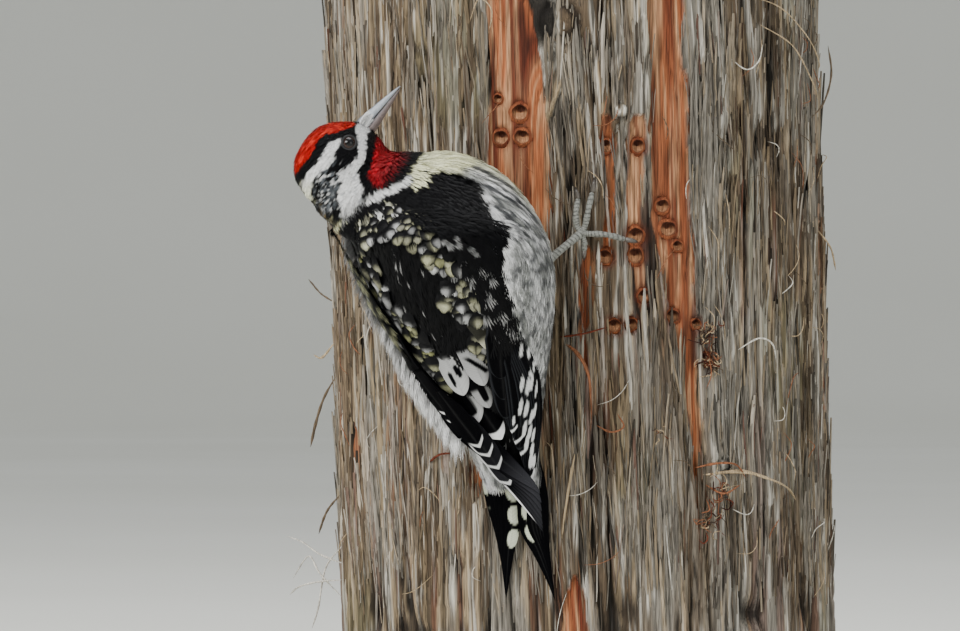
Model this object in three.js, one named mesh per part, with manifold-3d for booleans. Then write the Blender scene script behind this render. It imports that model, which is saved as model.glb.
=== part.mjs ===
// A yellow-bellied sapsucker clinging to a short length of trunk, held up by a plain display stand.
// Millimetres, +Z up. The origin is on the floor under the middle of the stand, and the bird's back faces -Y.
import * as THREE from "three";
import { mergeVertices } from "three/addons/utils/BufferGeometryUtils.js";
import Module from "manifold-3d";

const wasm = await Module();
wasm.setup();

// ---- driving dimensions -------------------------------------------------------------------------
const gap = 0.3; // clearance between pieces that meet
const trunkRadius = 88.5;
const trunkLow = 42; // height of the sawn lower end
const trunkHigh = 278; // height of the sawn upper end
const trunkLean = -0.029; // sideways shift of the trunk's middle for each mm of height
const baseRadius = 102;
const baseThickness = 13;
const rodRadius = 5.5;
const rodSpread = 34; // distance of each rod from the stand's middle
const rodSunk = 16; // depth that a rod goes into the trunk
const rodSeat = 7; // depth that a rod goes into the base
const billLength = 20.5;
const eyeRadius = 3.1;
const toeRadius = 1.15;
const clawRadius = 0.85;
const tailThickness = 1.7;

// The torso, neck and tail follow one line from the tail's tip to the base of the head.
// Each station is a section: its middle, the turn of the back from -Y towards -X, the tilt of the section's face
// towards the back, both in degrees, and its reach to the sides, to the back and to the belly.
const spine = [
  { x: -18.5, y: -90.5, z: 58.0, turn: 10, tilt: 0, side: 8.0, back: 1.6, belly: 1.0 },
  { x: -20.0, y: -92.5, z: 80.0, turn: 11, tilt: 0, side: 9.0, back: 2.2, belly: 1.4 },
  { x: -22.5, y: -95.0, z: 95.0, turn: 12, tilt: 0, side: 10.2, back: 4.6, belly: 4.0 },
  { x: -25.0, y: -97.0, z: 106.0, turn: 13, tilt: 0, side: 11.4, back: 7.0, belly: 6.6 },
  { x: -27.6, y: -99.5, z: 116.0, turn: 14, tilt: 0, side: 13.4, back: 10.4, belly: 10.2 },
  { x: -30.4, y: -102.0, z: 125.0, turn: 15, tilt: 0, side: 16.8, back: 13.8, belly: 13.6 },
  { x: -34.2, y: -105.8, z: 138.0, turn: 18, tilt: 0, side: 22.2, back: 18.8, belly: 18.4 },
  { x: -37.8, y: -109.6, z: 152.0, turn: 25, tilt: 0, side: 27.6, back: 24.2, belly: 23.8 },
  { x: -41.2, y: -112.0, z: 165.0, turn: 33, tilt: 0, side: 32.2, back: 28.8, belly: 28.2 },
  { x: -44.3, y: -113.6, z: 178.0, turn: 41, tilt: 0, side: 34.4, back: 32.0, belly: 32.2 },
  { x: -48.8, y: -114.4, z: 189.0, turn: 48, tilt: 5, side: 34.0, back: 32.0, belly: 34.6 },
  { x: -55.2, y: -115.0, z: 195.4, turn: 54, tilt: 16, side: 30.4, back: 29.8, belly: 35.4 },
  { x: -62.8, y: -116.0, z: 199.8, turn: 58, tilt: 29, side: 25.0, back: 25.8, belly: 30.6 },
  { x: -71.0, y: -117.8, z: 202.6, turn: 60, tilt: 43, side: 19.6, back: 21.0, belly: 21.4 },
  { x: -78.6, y: -119.6, z: 205.4, turn: 60, tilt: 55, side: 15.2, back: 17.2, belly: 15.0 },
  { x: -84.6, y: -121.6, z: 208.2, turn: 58, tilt: 64, side: 12.4, back: 15.2, belly: 10.6 },
];
const shareOf = (station) => station / (spine.length - 1);
const torsoFrom = shareOf(1.7);
const torsoTo = shareOf(12.3);

// The head: its middle, where the bill points and where the crown points.
const headMiddle = new THREE.Vector3(-83.9, -118.0, 213.2);
const billHeading = 51.5; // degrees above the horizon, seen from the front
const billInward = 26; // degrees that the bill turns in towards the trunk

// ---- shared tools -------------------------------------------------------------------------------
const radians = THREE.MathUtils.degToRad;
const vector = (x, y, z) => new THREE.Vector3(x, y, z);
const mix = THREE.MathUtils.lerp;

// A smooth run through numbers that stand at even steps from 0 to 1.
function run(values) {
  const curve = new THREE.CatmullRomCurve3(values.map((v) => vector(v, 0, 0)), false, "centripetal");
  return (share) => curve.getPoint(THREE.MathUtils.clamp(share, 0, 1)).x;
}

// A smooth run through points, read at a share of its length in stations.
function route(points) {
  const curve = new THREE.CatmullRomCurve3(points, false, "catmullrom", 0.5);
  return (share) => curve.getPoint(THREE.MathUtils.clamp(share, 0, 1));
}

function signedVolume(position, index) {
  const [a, b, c] = [vector(), vector(), vector()];
  let volume = 0;
  for (let i = 0; i < index.count; i += 3) {
    a.fromBufferAttribute(position, index.getX(i));
    b.fromBufferAttribute(position, index.getX(i + 1));
    c.fromBufferAttribute(position, index.getX(i + 2));
    volume += a.dot(b.cross(c));
  }
  return volume;
}

// Leaves only merged positions, with the faces pointing out.
function closed(geometry) {
  geometry.deleteAttribute("normal");
  geometry.deleteAttribute("uv");
  const merged = mergeVertices(geometry, 1e-3);
  if (signedVolume(merged.attributes.position, merged.index) < 0) {
    const array = merged.index.array;
    for (let i = 0; i < array.length; i += 3) {
      [array[i + 1], array[i + 2]] = [array[i + 2], array[i + 1]];
    }
  }
  return merged;
}

// A closed form made from a cylinder: place(share, angle, spread) says where each of its points goes.
// share runs from one end to the other, and spread is 0 in the middle of an end and 1 on the wall.
function loft(along, around, place) {
  const geometry = new THREE.CylinderGeometry(1, 1, 1, around, along);
  const position = geometry.attributes.position;
  for (let i = 0; i < position.count; i++) {
    const [x, y, z] = [position.getX(i), position.getY(i), position.getZ(i)];
    const point = place(y + 0.5, Math.atan2(x, z), Math.min(1, Math.hypot(x, z)));
    position.setXYZ(i, point.x, point.y, point.z);
  }
  return closed(geometry);
}

function solid(geometry) {
  const index = geometry.index.array;
  return new wasm.Manifold(
    new wasm.Mesh({
      numProp: 3,
      vertProperties: new Float32Array(geometry.attributes.position.array),
      triVerts: new Uint32Array(index),
    }),
  );
}

function geometryOf(made) {
  const mesh = made.getMesh();
  const position = new Float32Array(mesh.numVert * 3);
  for (let i = 0; i < mesh.numVert; i++) {
    position.set(mesh.vertProperties.subarray(i * mesh.numProp, i * mesh.numProp + 3), i * 3);
  }
  return new THREE.BufferGeometry()
    .setAttribute("position", new THREE.BufferAttribute(position, 3))
    .setIndex(new THREE.BufferAttribute(new Uint32Array(mesh.triVerts), 1));
}

// Cuts the others out of a geometry and keeps the largest body that is left.
function cutBy(geometry, ...others) {
  const left = others.reduce((made, other) => made.subtract(solid(other)), solid(geometry));
  const bodies = left.decompose().sort((a, b) => b.volume() - a.volume());
  return geometryOf(bodies[0]);
}

// A tube through points with a radius that changes along it. Its rings are kept from twisting by the way out from
// the trunk. grow makes it wider and longer, for cutting.
function taperedTube(points, radii, along, around, grow = 0) {
  const path = route(points);
  const radius = run(radii);
  return loft(along, around, (share, angle, spread) => {
    const middle = path(share);
    const heading = path(Math.min(1, share + 0.02)).sub(path(Math.max(0, share - 0.02))).normalize();
    const side = vector(middle.x, middle.y, 0).cross(heading).normalize();
    const up = heading.clone().cross(side).normalize();
    const reach = (radius(share) + grow) * spread;
    const extra = share === 0 ? -grow : share === 1 ? grow : 0;
    middle.addScaledVector(heading, extra);
    return middle.addScaledVector(side, reach * Math.cos(angle)).addScaledVector(up, reach * Math.sin(angle));
  });
}

// ---- body line ----------------------------------------------------------------------------------
const middleRoute = route(spine.map((s) => vector(s.x, s.y, s.z)));
const turnRoute = route(spine.map((s) => vector(s.turn, s.tilt, 0)));
const sizeRoute = route(spine.map((s) => vector(s.side, s.back, s.belly)));

// Where the body's surface is: share runs from the tail's tip to the head, angle turns from the mid-back to the
// bird's right, and lift stands off the surface.
function bodyFrame(share) {
  const [turn, tilt] = turnRoute(share).toArray().map(radians);
  const back = vector(-Math.sin(turn) * Math.cos(tilt), -Math.cos(turn) * Math.cos(tilt), -Math.sin(tilt));
  const right = vector(Math.cos(turn), -Math.sin(turn), 0);
  const size = sizeRoute(share);
  return { middle: middleRoute(share), back, right, side: size.x, dorsal: size.y, ventral: size.z };
}

function bodyPoint(share, angle, lift = 0, spread = 1) {
  const frame = bodyFrame(share);
  const depth = Math.cos(angle) > 0 ? frame.dorsal : frame.ventral;
  const across = (frame.side * spread + lift) * Math.sin(angle);
  const deep = (depth * spread + lift) * Math.cos(angle);
  return frame.middle.addScaledVector(frame.right, across).addScaledVector(frame.back, deep);
}

function torsoForm(grow = 0) {
  const low = torsoFrom - grow * 0.002;
  const high = torsoTo + grow * 0.002;
  return loft(20, 24, (share, angle, spread) => bodyPoint(mix(low, high, share), angle, grow, spread));
}

function neckForm() {
  return loft(7, 20, (share, angle, spread) => bodyPoint(mix(torsoTo + 0.0025, 1, share), angle, 0, spread));
}

// ---- head ---------------------------------------------------------------------------------------
const forward = vector(
  Math.cos(radians(billHeading)) * Math.cos(radians(billInward)),
  Math.sin(radians(billInward)),
  Math.sin(radians(billHeading)) * Math.cos(radians(billInward)),
);
const crown = vector(-Math.sin(radians(billHeading)), 0, Math.cos(radians(billHeading)));
const headRight = forward.clone().cross(crown);

// The head, bill and eyes are made in a frame of their own: X ahead, Y up to the crown and Z to the bird's right.
const headGroup = new THREE.Group();
headGroup.position.copy(headMiddle);
headGroup.quaternion.setFromRotationMatrix(new THREE.Matrix4().makeBasis(forward, crown, headRight));
headGroup.updateMatrix();

const headBack = -18;
const headFront = 16.4; // the feathers' edge at the base of the bill
const headTop = run([3.0, 9.8, 12.6, 13.7, 14.0, 13.6, 12.0, 8.9, 4.4]);
const headBottom = run([-8.0, -13.4, -16.4, -18.4, -19.4, -19.8, -19.2, -16.2, -9.0]);
const headSide = run([3.0, 9.2, 12.2, 13.6, 13.8, 13.0, 11.2, 8.4, 4.6]);

function headForm(grow = 0) {
  return loft(14, 20, (share, angle, spread) => {
    const [top, bottom] = [headTop(share), headBottom(share)];
    const reach = spread * (1 + grow / 14);
    const up = (top + bottom) / 2 + ((top - bottom) / 2) * reach * Math.cos(angle);
    return vector(mix(headBack - grow, headFront + grow, share), up, headSide(share) * reach * Math.sin(angle));
  });
}

// The bill is straight and chisel-tipped. The two halves meet on the gape line.
const billGape = -0.4; // height of the gape line over the head's middle line, at the base
const billTipDrop = 0.2;
function billHalf(sign) {
  const depth = sign > 0 ? 4.1 : 3.3;
  const length = sign > 0 ? billLength : billLength - 0.9;
  return loft(7, 14, (share, angle, spread) => {
    const along = share * length;
    const taper = Math.pow(1 - share, 0.82);
    const wide = mix(0.42, 4.0, taper) * spread;
    const deep = mix(0.34, depth, taper) * spread;
    const ridge = Math.pow(Math.abs(Math.cos(angle / 2)), 1.15);
    const across = Math.sin(angle) * wide * mix(0.72, 1, 1 - Math.abs(Math.cos(angle / 2)));
    const up = gap / 2 + deep * ridge * Math.max(0, Math.cos(angle / 2));
    return vector(headFront + gap + along, billGape - billTipDrop * share + sign * up, across);
  });
}

const eyePlace = { ahead: 1.8, up: 0.6, out: 10.7 };
const eyeForm = (grow = 0) => closed(new THREE.SphereGeometry(eyeRadius + grow, 12, 8));
const eyeSpot = (side) => vector(eyePlace.ahead, eyePlace.up, side * eyePlace.out);

// ---- wings --------------------------------------------------------------------------------------
// A folded wing is a curved plate over the body, from the wrist at its upper end to the primaries' tips.
// The edges are angles round the body, seen from the mid-back, and both wings are closed over the tail.
const wingTop = shareOf(12.1);
const wingTips = { right: shareOf(2.45), left: shareOf(1.33) };
const wingInner = {
  right: run([64, 52, 46, 44, 42, 40, 34, 24, 18, 14, 10, 22]),
  left: run([60, 50, 44, 37, 33, 42, 50, 38, 8, -16, -46, -52]),
};
const wingOuter = {
  right: run([70, 84, 90, 88, 76, 68, 62, 72, 80, 76, 60, 36]),
  left: run([64, 70, 74, 74, 70, 68, 72, 74, 66, 42, 10, -40]),
};
const wingLift = {
  right: run([-1.4, -0.2, 0.2, 0.2, 0.2, 0.2, 0.2, 0.3, 0.6, 0.8, 1.4, 2.2]),
  left: run([-1.4, -0.2, 0.2, 0.2, 0.2, 0.2, 0.4, 1.2, 3.4, 4.4, 4.8, 5.2]),
};
const wingDepth = run([0.8, 1.8, 2.2, 2.2, 2.0, 2.0, 1.8, 1.8, 1.6, 1.4, 1.2, 0.9]);

function wingForm(name) {
  const mirror = name === "right" ? 1 : -1;
  return loft(16, 12, (share, angle, spread) => {
    const station = mix(wingTop, wingTips[name], share);
    const [inner, outer] = [wingInner[name](share), wingOuter[name](share)];
    const across = Math.sin(angle) * spread;
    const turn = mirror * radians((inner + outer) / 2 + ((outer - inner) / 2) * across);
    const bulge = Math.sign(Math.cos(angle)) * Math.pow(Math.abs(Math.cos(angle)), 0.45);
    const half = wingDepth(share) / 2;
    return bodyPoint(station, turn, wingLift[name](share) + half + half * bulge * spread);
  });
}

// ---- tail ---------------------------------------------------------------------------------------
// Each half of the tail is a stiff, pointed prong that is propped on the bark.
const tailHigh = 112;
const tailLow = 61;
const tailClear = 0.8; // height of the tips over the bark
const tailRise = 7; // how much higher the roots stand
const tailOutside = {
  left: run([-34.6, -34.2, -32.8, -30.9, -28.9, -27.9, -26.9]),
  right: run([-15.6, -14.2, -12.0, -10.3, -10.1, -9.0, -8.5]),
};
const tailInside = {
  left: run([-22.2, -22.2, -22.1, -22.0, -24.2, -25.2, -26.0]),
  right: run([-21.4, -21.4, -21.4, -21.3, -16.4, -12.4, -9.3]),
};

// A place over the bark: arc is measured round the trunk from its front, and high is the height over it.
function onTrunk(arc, z, high) {
  const turn = arc / trunkRadius;
  const reach = trunkRadius + high;
  const shift = trunkLean * (z - (trunkLow + trunkHigh) / 2);
  return vector(shift + Math.sin(turn) * reach, -Math.cos(turn) * reach, z);
}

function tailForm(name) {
  return loft(14, 10, (share, angle, spread) => {
    const [outside, inside] = [tailOutside[name](share), tailInside[name](share)];
    const across = (outside + inside) / 2 + (Math.abs(outside - inside) / 2) * Math.sin(angle) * spread;
    const z = mix(tailHigh, tailLow, share);
    const bulge = Math.sign(Math.cos(angle)) * Math.pow(Math.abs(Math.cos(angle)), 0.4);
    const half = tailThickness / 2;
    const high = tailClear + half + tailRise * Math.pow(1 - share, 1.6) + half * bulge * spread;
    const shift = trunkLean * (z - (trunkLow + trunkHigh) / 2);
    return onTrunk(Math.asin((across - shift) / (trunkRadius + high)) * trunkRadius, z, high);
  });
}

// ---- legs ---------------------------------------------------------------------------------------
// Toes 2 and 3 point up the trunk, toe 4 to the side and the hallux down. Each toe is given by the arc round the
// trunk, the height up the trunk and the height over the bark, from where the toes meet. They start clear of the
// tarsus, and the claws start clear of them.
const rightFoot = { arc: 0.7, z: 188.6, high: 2.7, out: 1 };
const leftFoot = { arc: -50, z: 183.5, high: 2.7, out: -1 };
const clawClear = 0.65;
const toes = {
  toe1: {
    reach: [[0.9, -3.0, -0.2], [0.9, -4.4, -0.6], [0.8, -6.2, -1.3]],
    claw: [[0.7, -8.2, -0.8], [0.8, -9.6, -2.6]],
  },
  toe2: {
    reach: [[-1.5, 2.7, 0.2], [-1.6, 7.0, 0.5], [-0.7, 12.0, -1.2]],
    claw: [[-1.2, 14.4, -0.2], [-1.6, 16.0, -2.5]],
  },
  toe3: {
    reach: [[1.4, 2.8, 0.2], [2.5, 7.8, 0.7], [4.2, 14.2, -1.2]],
    claw: [[4.8, 17.4, -0.1], [5.1, 19.4, -2.5]],
  },
  toe4: {
    reach: [[3.1, -0.3, 0.2], [8.4, -0.6, 0.7], [15.0, -2.2, -1.2]],
    claw: [[18.0, -2.8, -0.1], [19.8, -3.2, -2.5]],
  },
};

function toePlace(foot, [arc, up, high]) {
  return onTrunk(foot.arc + foot.out * arc, foot.z + up, foot.high + high);
}

function toeForm(foot, toe) {
  const points = toe.reach.map((p) => toePlace(foot, p));
  const radii = [0.8, 1.05, 1.0, 1.12, 0.95, 1.08, 0.7].map((r) => r * toeRadius);
  return taperedTube(points, radii, 7, 8);
}

function clawForm(foot, toe) {
  const start = toePlace(foot, toe.reach[2]);
  const behind = toePlace(foot, toe.reach[1]);
  start.addScaledVector(start.clone().sub(behind).normalize(), clawClear);
  const points = [start, ...toe.claw.map((p) => toePlace(foot, p))];
  return taperedTube(points, [1, 0.92, 0.7, 0.42, 0.2].map((r) => r * clawRadius), 5, 7);
}

function tarsusForm(foot, ankle, grow = 0) {
  const end = onTrunk(foot.arc, foot.z, foot.high + 0.2);
  return taperedTube([ankle, ankle.clone().lerp(end, 0.5), end], [1.9, 1.45, 1.25, 1.3, 1.5], 7, 9, grow);
}

function thighForm(hip, ankle) {
  return taperedTube([hip, hip.clone().lerp(ankle, 0.55), ankle], [5.6, 6.6, 5.2, 3.4, 2.4], 6, 10);
}

const rightAnkle = vector(-13.0, -99.0, 178.0);
const leftAnkle = vector(-60.5, -82.5, 171.5);
const rightHip = vector(-32.0, -101.0, 160.0);
const leftHip = vector(-49.0, -98.0, 157.0);

// ---- perch and stand ----------------------------------------------------------------------------
function trunkForm() {
  const lobes = (angle, z) =>
    0.9 * Math.sin(5 * angle + 0.6) + 0.6 * Math.sin(9 * angle + 2.1 + z / 160) - 0.5 * Math.sin(2 * angle + z / 90);
  return loft(5, 48, (share, angle, spread) => {
    const z = mix(trunkLow, trunkHigh, share);
    const reach = (trunkRadius - 1.7 + lobes(angle, z) * 0.8) * spread;
    const shift = trunkLean * (z - (trunkLow + trunkHigh) / 2);
    return vector(shift + Math.sin(angle) * reach, -Math.cos(angle) * reach, z);
  });
}

const rodPlaces = [-rodSpread, rodSpread];
const rodLow = baseThickness - rodSeat;
const rodHigh = trunkLow + rodSunk;
const rodForm = (grow = 0) =>
  closed(new THREE.CylinderGeometry(rodRadius + grow, rodRadius + grow, rodHigh - rodLow + 2 * grow, 16));

function baseForm() {
  const edge = 1.5;
  const profile = [
    [0, 0],
    [baseRadius - edge, 0],
    [baseRadius, edge],
    [baseRadius, baseThickness - edge],
    [baseRadius - edge, baseThickness],
    [0, baseThickness],
  ].map(([r, h]) => new THREE.Vector2(r, h));
  const disc = new THREE.LatheGeometry(profile, 48);
  disc.rotateX(Math.PI / 2);
  return closed(disc);
}

// ---- the group ----------------------------------------------------------------------------------
const finish = (color, roughness, metalness = 0) => new THREE.MeshStandardMaterial({ color, roughness, metalness });
const finishes = {
  plumage: () => finish(0x1c1c1e, 0.75),
  mottled: () => finish(0x8f8b80, 0.8),
  crown: () => finish(0xb51a1c, 0.7),
  horn: () => finish(0x77797c, 0.4),
  eye: () => finish(0x120a08, 0.08),
  foot: () => finish(0x8c9187, 0.6),
  claw: () => finish(0x45433f, 0.35),
  bark: () => finish(0x7c6a58, 0.9),
  stand: () => finish(0x2b2622, 0.45),
  rod: () => finish(0xb08d4c, 0.3, 1),
};

function piece(name, geometry, kind) {
  const mesh = new THREE.Mesh(geometry, finishes[kind]());
  mesh.name = name;
  return mesh;
}

const torso = torsoForm();
const torsoGrown = torsoForm(gap);

function headPieces() {
  const eyes = [1, -1].map((side) => {
    const eye = piece(side > 0 ? "eye_right" : "eye_left", eyeForm(), "eye");
    eye.position.copy(eyeSpot(side));
    return eye;
  });
  const sockets = eyes.map((eye) => eyeForm(gap).translate(...eye.position));
  headGroup.add(
    piece("head", cutBy(headForm(), ...sockets), "crown"),
    piece("bill_upper", billHalf(1), "horn"),
    piece("bill_lower", billHalf(-1), "horn"),
    ...eyes,
  );
  return headGroup;
}

function bodyPieces() {
  const body = new THREE.Group();
  const headGrown = headForm(gap).applyMatrix4(headGroup.matrix);
  body.add(piece("torso", torso, "mottled"), piece("neck", cutBy(neckForm(), headGrown, torsoGrown), "plumage"));
  for (const name of ["left", "right"]) {
    body.add(piece("wing_" + name, cutBy(wingForm(name), torsoGrown), "plumage"));
    body.add(piece("tail_" + name, cutBy(tailForm(name), torsoGrown), "plumage"));
  }
  return body;
}

function legPieces({ name, foot, ankle, hip }) {
  const leg = new THREE.Group();
  const tarsusGrown = tarsusForm(foot, ankle, gap);
  leg.add(piece("thigh_" + name, cutBy(thighForm(hip, ankle), torsoGrown, tarsusGrown), "mottled"));
  leg.add(piece("tarsus_" + name, cutBy(tarsusForm(foot, ankle), torsoGrown), "foot"));
  for (const [toeName, toe] of Object.entries(toes)) {
    leg.add(piece(toeName + "_" + name, toeForm(foot, toe), "foot"));
    leg.add(piece(toeName.replace("toe", "claw") + "_" + name, clawForm(foot, toe), "claw"));
  }
  return leg;
}

function perchPieces() {
  const perch = new THREE.Group();
  const rods = rodPlaces.map((x, i) => {
    const rod = piece("stand_rod_" + (i + 1), rodForm(), "rod");
    rod.rotation.x = Math.PI / 2;
    rod.position.set(x, 0, (rodLow + rodHigh) / 2);
    rod.updateMatrix();
    return rod;
  });
  const sockets = rods.map((rod) => rodForm(gap).applyMatrix4(rod.matrix));
  perch.add(piece("perch_trunk", cutBy(trunkForm(), ...sockets), "bark"));
  perch.add(piece("stand_base", cutBy(baseForm(), ...sockets), "stand"), ...rods);
  return perch;
}

const rightLeg = { name: "right", foot: rightFoot, ankle: rightAnkle, hip: rightHip };
const leftLeg = { name: "left", foot: leftFoot, ankle: leftAnkle, hip: leftHip };

const group = new THREE.Group();
group.add(bodyPieces(), headPieces(), legPieces(rightLeg), legPieces(leftLeg), perchPieces());
export default group;
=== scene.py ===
import math
from itertools import product

import bpy
import numpy as np
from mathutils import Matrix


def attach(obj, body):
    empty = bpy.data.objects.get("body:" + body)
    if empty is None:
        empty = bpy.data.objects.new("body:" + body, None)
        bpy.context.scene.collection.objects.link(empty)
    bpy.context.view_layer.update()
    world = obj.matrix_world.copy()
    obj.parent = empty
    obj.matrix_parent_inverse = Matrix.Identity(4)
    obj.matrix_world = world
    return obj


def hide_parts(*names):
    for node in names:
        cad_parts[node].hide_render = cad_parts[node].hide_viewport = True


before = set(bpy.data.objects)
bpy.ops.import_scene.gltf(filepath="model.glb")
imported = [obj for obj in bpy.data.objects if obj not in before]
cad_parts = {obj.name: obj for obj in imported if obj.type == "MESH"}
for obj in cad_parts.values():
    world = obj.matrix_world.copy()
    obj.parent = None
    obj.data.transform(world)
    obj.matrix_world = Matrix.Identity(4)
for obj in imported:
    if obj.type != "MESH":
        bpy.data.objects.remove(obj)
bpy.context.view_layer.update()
scene = bpy.context.scene
mm = 0.001  # every size in this script is in millimetres, and meshes are written in metres


# numbers and directions

def unit(v):
    v = np.asarray(v, float)
    return v / np.maximum(np.linalg.norm(v, axis=-1, keepdims=True), 1e-9)


def dot(a, b):
    return (a * b).sum(-1)


def mix(a, b, t):
    return a + (b - a) * t


def blend(a, b, t):
    return a + (b - a) * np.asarray(t)[:, None]


def ease(x, low, high):
    t = np.clip((np.asarray(x, float) - low) / (high - low), 0, 1)
    return t * t * (3 - 2 * t)


def bell(x, middle, width):
    return np.exp(-(((x - middle) / width) ** 2))


def fullTurn(count):
    return np.linspace(0, 2 * math.pi, count, endpoint=False)


def paint(red, green, blue):
    c = np.array([red, green, blue]) / 255  # screen numbers to linear light
    return np.where(c <= 0.04045, c / 12.92, ((c + 0.055) / 1.055) ** 2.4)


def flattened(*values):  # the shared shape, then each value as one row of numbers
    values = np.broadcast_arrays(*(np.asarray(value, float) for value in values))
    return values[0].shape, *(value.ravel() for value in values)


def curveThrough(values):
    values = np.asarray(values, float)
    flat = values.ndim == 1
    values = values[:, None] if flat else values
    last = len(values) - 1

    def at(share):
        t = np.clip(np.atleast_1d(share), 0, 1) * last
        i = np.minimum(t.astype(int), last - 1)
        f = (t - i)[:, None]
        p1, p2 = values[i], values[i + 1]
        p0 = np.where((i > 0)[:, None], values[np.maximum(i - 1, 0)], 2 * p1 - p2)
        p3 = np.where((i < last - 1)[:, None], values[np.minimum(i + 2, last)], 2 * p2 - p1)
        out = 0.5 * (2 * p1 + (p2 - p0) * f + (2 * p0 - 5 * p1 + 4 * p2 - p3) * f**2
                     + (3 * p1 - p0 - 3 * p2 + p3) * f**3)
        return out[:, 0] if flat else out

    return at


# large odd numbers that scatter the cells of the noise
noiseSteps = {"axes": (73856093, 19349663, 83492791), "seed": 7919, "first": 17, "stir": 1274126177}


def softNoise(place, seed=0):
    place = np.asarray(place, float)
    cell = np.floor(place).astype(np.int64)
    part = place - cell
    part = part * part * (3 - 2 * part)
    total = np.zeros(len(place))
    for corner in product((0, 1), repeat=place.shape[1]):
        key = np.full(len(place), seed * noiseSteps["seed"] + noiseSteps["first"], np.int64)
        weight = np.ones(len(place))
        for axis, step in enumerate(corner):
            key ^= (cell[:, axis] + step) * noiseSteps["axes"][axis]
            weight *= part[:, axis] if step else 1 - part[:, axis]
        key = (key ^ (key >> 13)) * noiseSteps["stir"] & 0x7FFFFFFF
        key = (key ^ (key >> 15)) & 0xFFFF
        total += weight * key / 65535
    return total


def noiseAt(seed, *values):
    return softNoise(np.stack(values, 1), seed)


# meshes

def gridFaces(rows, columns, wrap=False):
    across = columns if wrap else columns - 1
    r, c = np.meshgrid(np.arange(rows - 1), np.arange(across), indexing="ij")
    r, c = r.ravel() * columns, c.ravel()
    d = (c + 1) % columns
    return np.stack([r + c, r + d, r + columns + d, r + columns + c], 1)


def closedLoft(points):  # rings of points as squares, with a cap at both ends
    rows, columns = points.shape[:2]
    ring = np.arange(columns)
    caps = np.array([ring[::-1], (rows - 1) * columns + ring])
    return points.reshape(-1, 3), gridFaces(rows, columns, wrap=True), caps


def newMesh(name, points, faces, fields=None):
    groups = faces if isinstance(faces, list) else [faces]
    groups = [np.asarray(g, np.int32) for g in groups if len(g)]
    mesh = bpy.data.meshes.new(name)
    mesh.vertices.add(len(points))
    mesh.vertices.foreach_set("co", (np.asarray(points, float) * mm).ravel())
    corners = np.concatenate([g.ravel() for g in groups])
    sizes = np.concatenate([np.full(len(g), g.shape[1]) for g in groups])
    mesh.loops.add(len(corners))
    mesh.loops.foreach_set("vertex_index", corners)
    mesh.polygons.add(len(sizes))
    mesh.polygons.foreach_set("loop_start", np.concatenate([[0], np.cumsum(sizes)[:-1]]).astype(np.int32))
    mesh.update(calc_edges=True)
    mesh.validate()
    mesh.shade_smooth()
    for key, value in (fields or {}).items():
        addField(mesh, key, value)
    return mesh


def turned(profile, around, centre=(0, 0)):  # rings of points round an upright line
    turn = fullTurn(around)
    profile = np.asarray(profile, float)
    reach, height = profile[:, 0, None], profile[:, 1, None]
    x, y = centre[0] + reach * np.cos(turn), centre[1] + reach * np.sin(turn)
    return np.stack([x, y, height + 0 * turn], -1)


def joinedMesh(name, parts, fields=None):  # each part has its points, squares, caps and colours
    points, squares, caps, tints = zip(*parts)
    starts = np.cumsum([0, *map(len, points)])
    squares = np.concatenate([group + start for group, start in zip(squares, starts)])
    caps = [group + start for group, start in zip(caps, starts) if group is not None]
    mesh = newMesh(name, np.concatenate(points), [squares, *caps], fields)
    if tints[0] is not None:
        setTint(mesh, np.concatenate(tints))
    return mesh


def addField(mesh, name, value):
    value = np.asarray(value, float)
    kind, slot = ("FLOAT", "value") if value.ndim == 1 else ("FLOAT_VECTOR", "vector")
    mesh.attributes.new(name, kind, "POINT").data.foreach_set(slot, value.ravel())


def readAll(items, name, width=3):
    out = np.zeros(len(items) * width, np.float32)
    items.foreach_get(name, out)
    return out.reshape(-1, 3) if width == 3 else out


def readField(mesh, name):
    layer = mesh.attributes[name]
    kind, width = ("vector", 3) if layer.data_type == "FLOAT_VECTOR" else ("value", 1)
    return readAll(layer.data, kind, width)


def readPoints(mesh):
    return readAll(mesh.vertices, "co") / mm


def setTint(mesh, colours):
    layer = mesh.color_attributes.new("tint", "FLOAT_COLOR", "POINT")
    rgba = np.ones((len(mesh.vertices), 4), np.float32)
    rgba[:, :3] = np.clip(colours, 0, 1)
    layer.data.foreach_set("color", rgba.ravel())


def setMap(mesh, name, flat):
    layer = mesh.uv_layers.new(name=name)
    corner = np.zeros(len(mesh.loops), np.int32)
    mesh.loops.foreach_get("vertex_index", corner)
    layer.data.foreach_set("uv", np.clip(np.asarray(flat)[corner], 0, 1).astype(np.float32).ravel())


def newObject(mesh, material=None):
    thing = bpy.data.objects.new(mesh.name, mesh)
    scene.collection.objects.link(thing)
    if material:
        mesh.materials.clear()
        mesh.materials.append(material)
    return thing


def finishPiece(mesh, material, slot, *replaced):
    thing = newObject(mesh, material)
    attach(thing, "root")
    if replaced:
        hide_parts(*replaced)


# materials

def addNode(tree, kind, values=None, **settings):
    node = tree.nodes.new(kind)
    for key, value in settings.items():
        setattr(node, key, value)
    for key, value in (values or {}).items():
        if isinstance(value, bpy.types.NodeSocket):
            tree.links.new(value, node.inputs[key])
        else:
            node.inputs[key].default_value = value
    return node


def newMaterial(name, **sockets):
    material = bpy.data.materials.new(name)
    material.use_nodes = True
    tree = material.node_tree
    tree.nodes.clear()
    shader = addNode(tree, "ShaderNodeBsdfPrincipled", {k.replace("_", " "): v for k, v in sockets.items()})
    output = addNode(tree, "ShaderNodeOutputMaterial")
    tree.links.new(shader.outputs[0], output.inputs[0])
    return material, tree, shader


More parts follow.
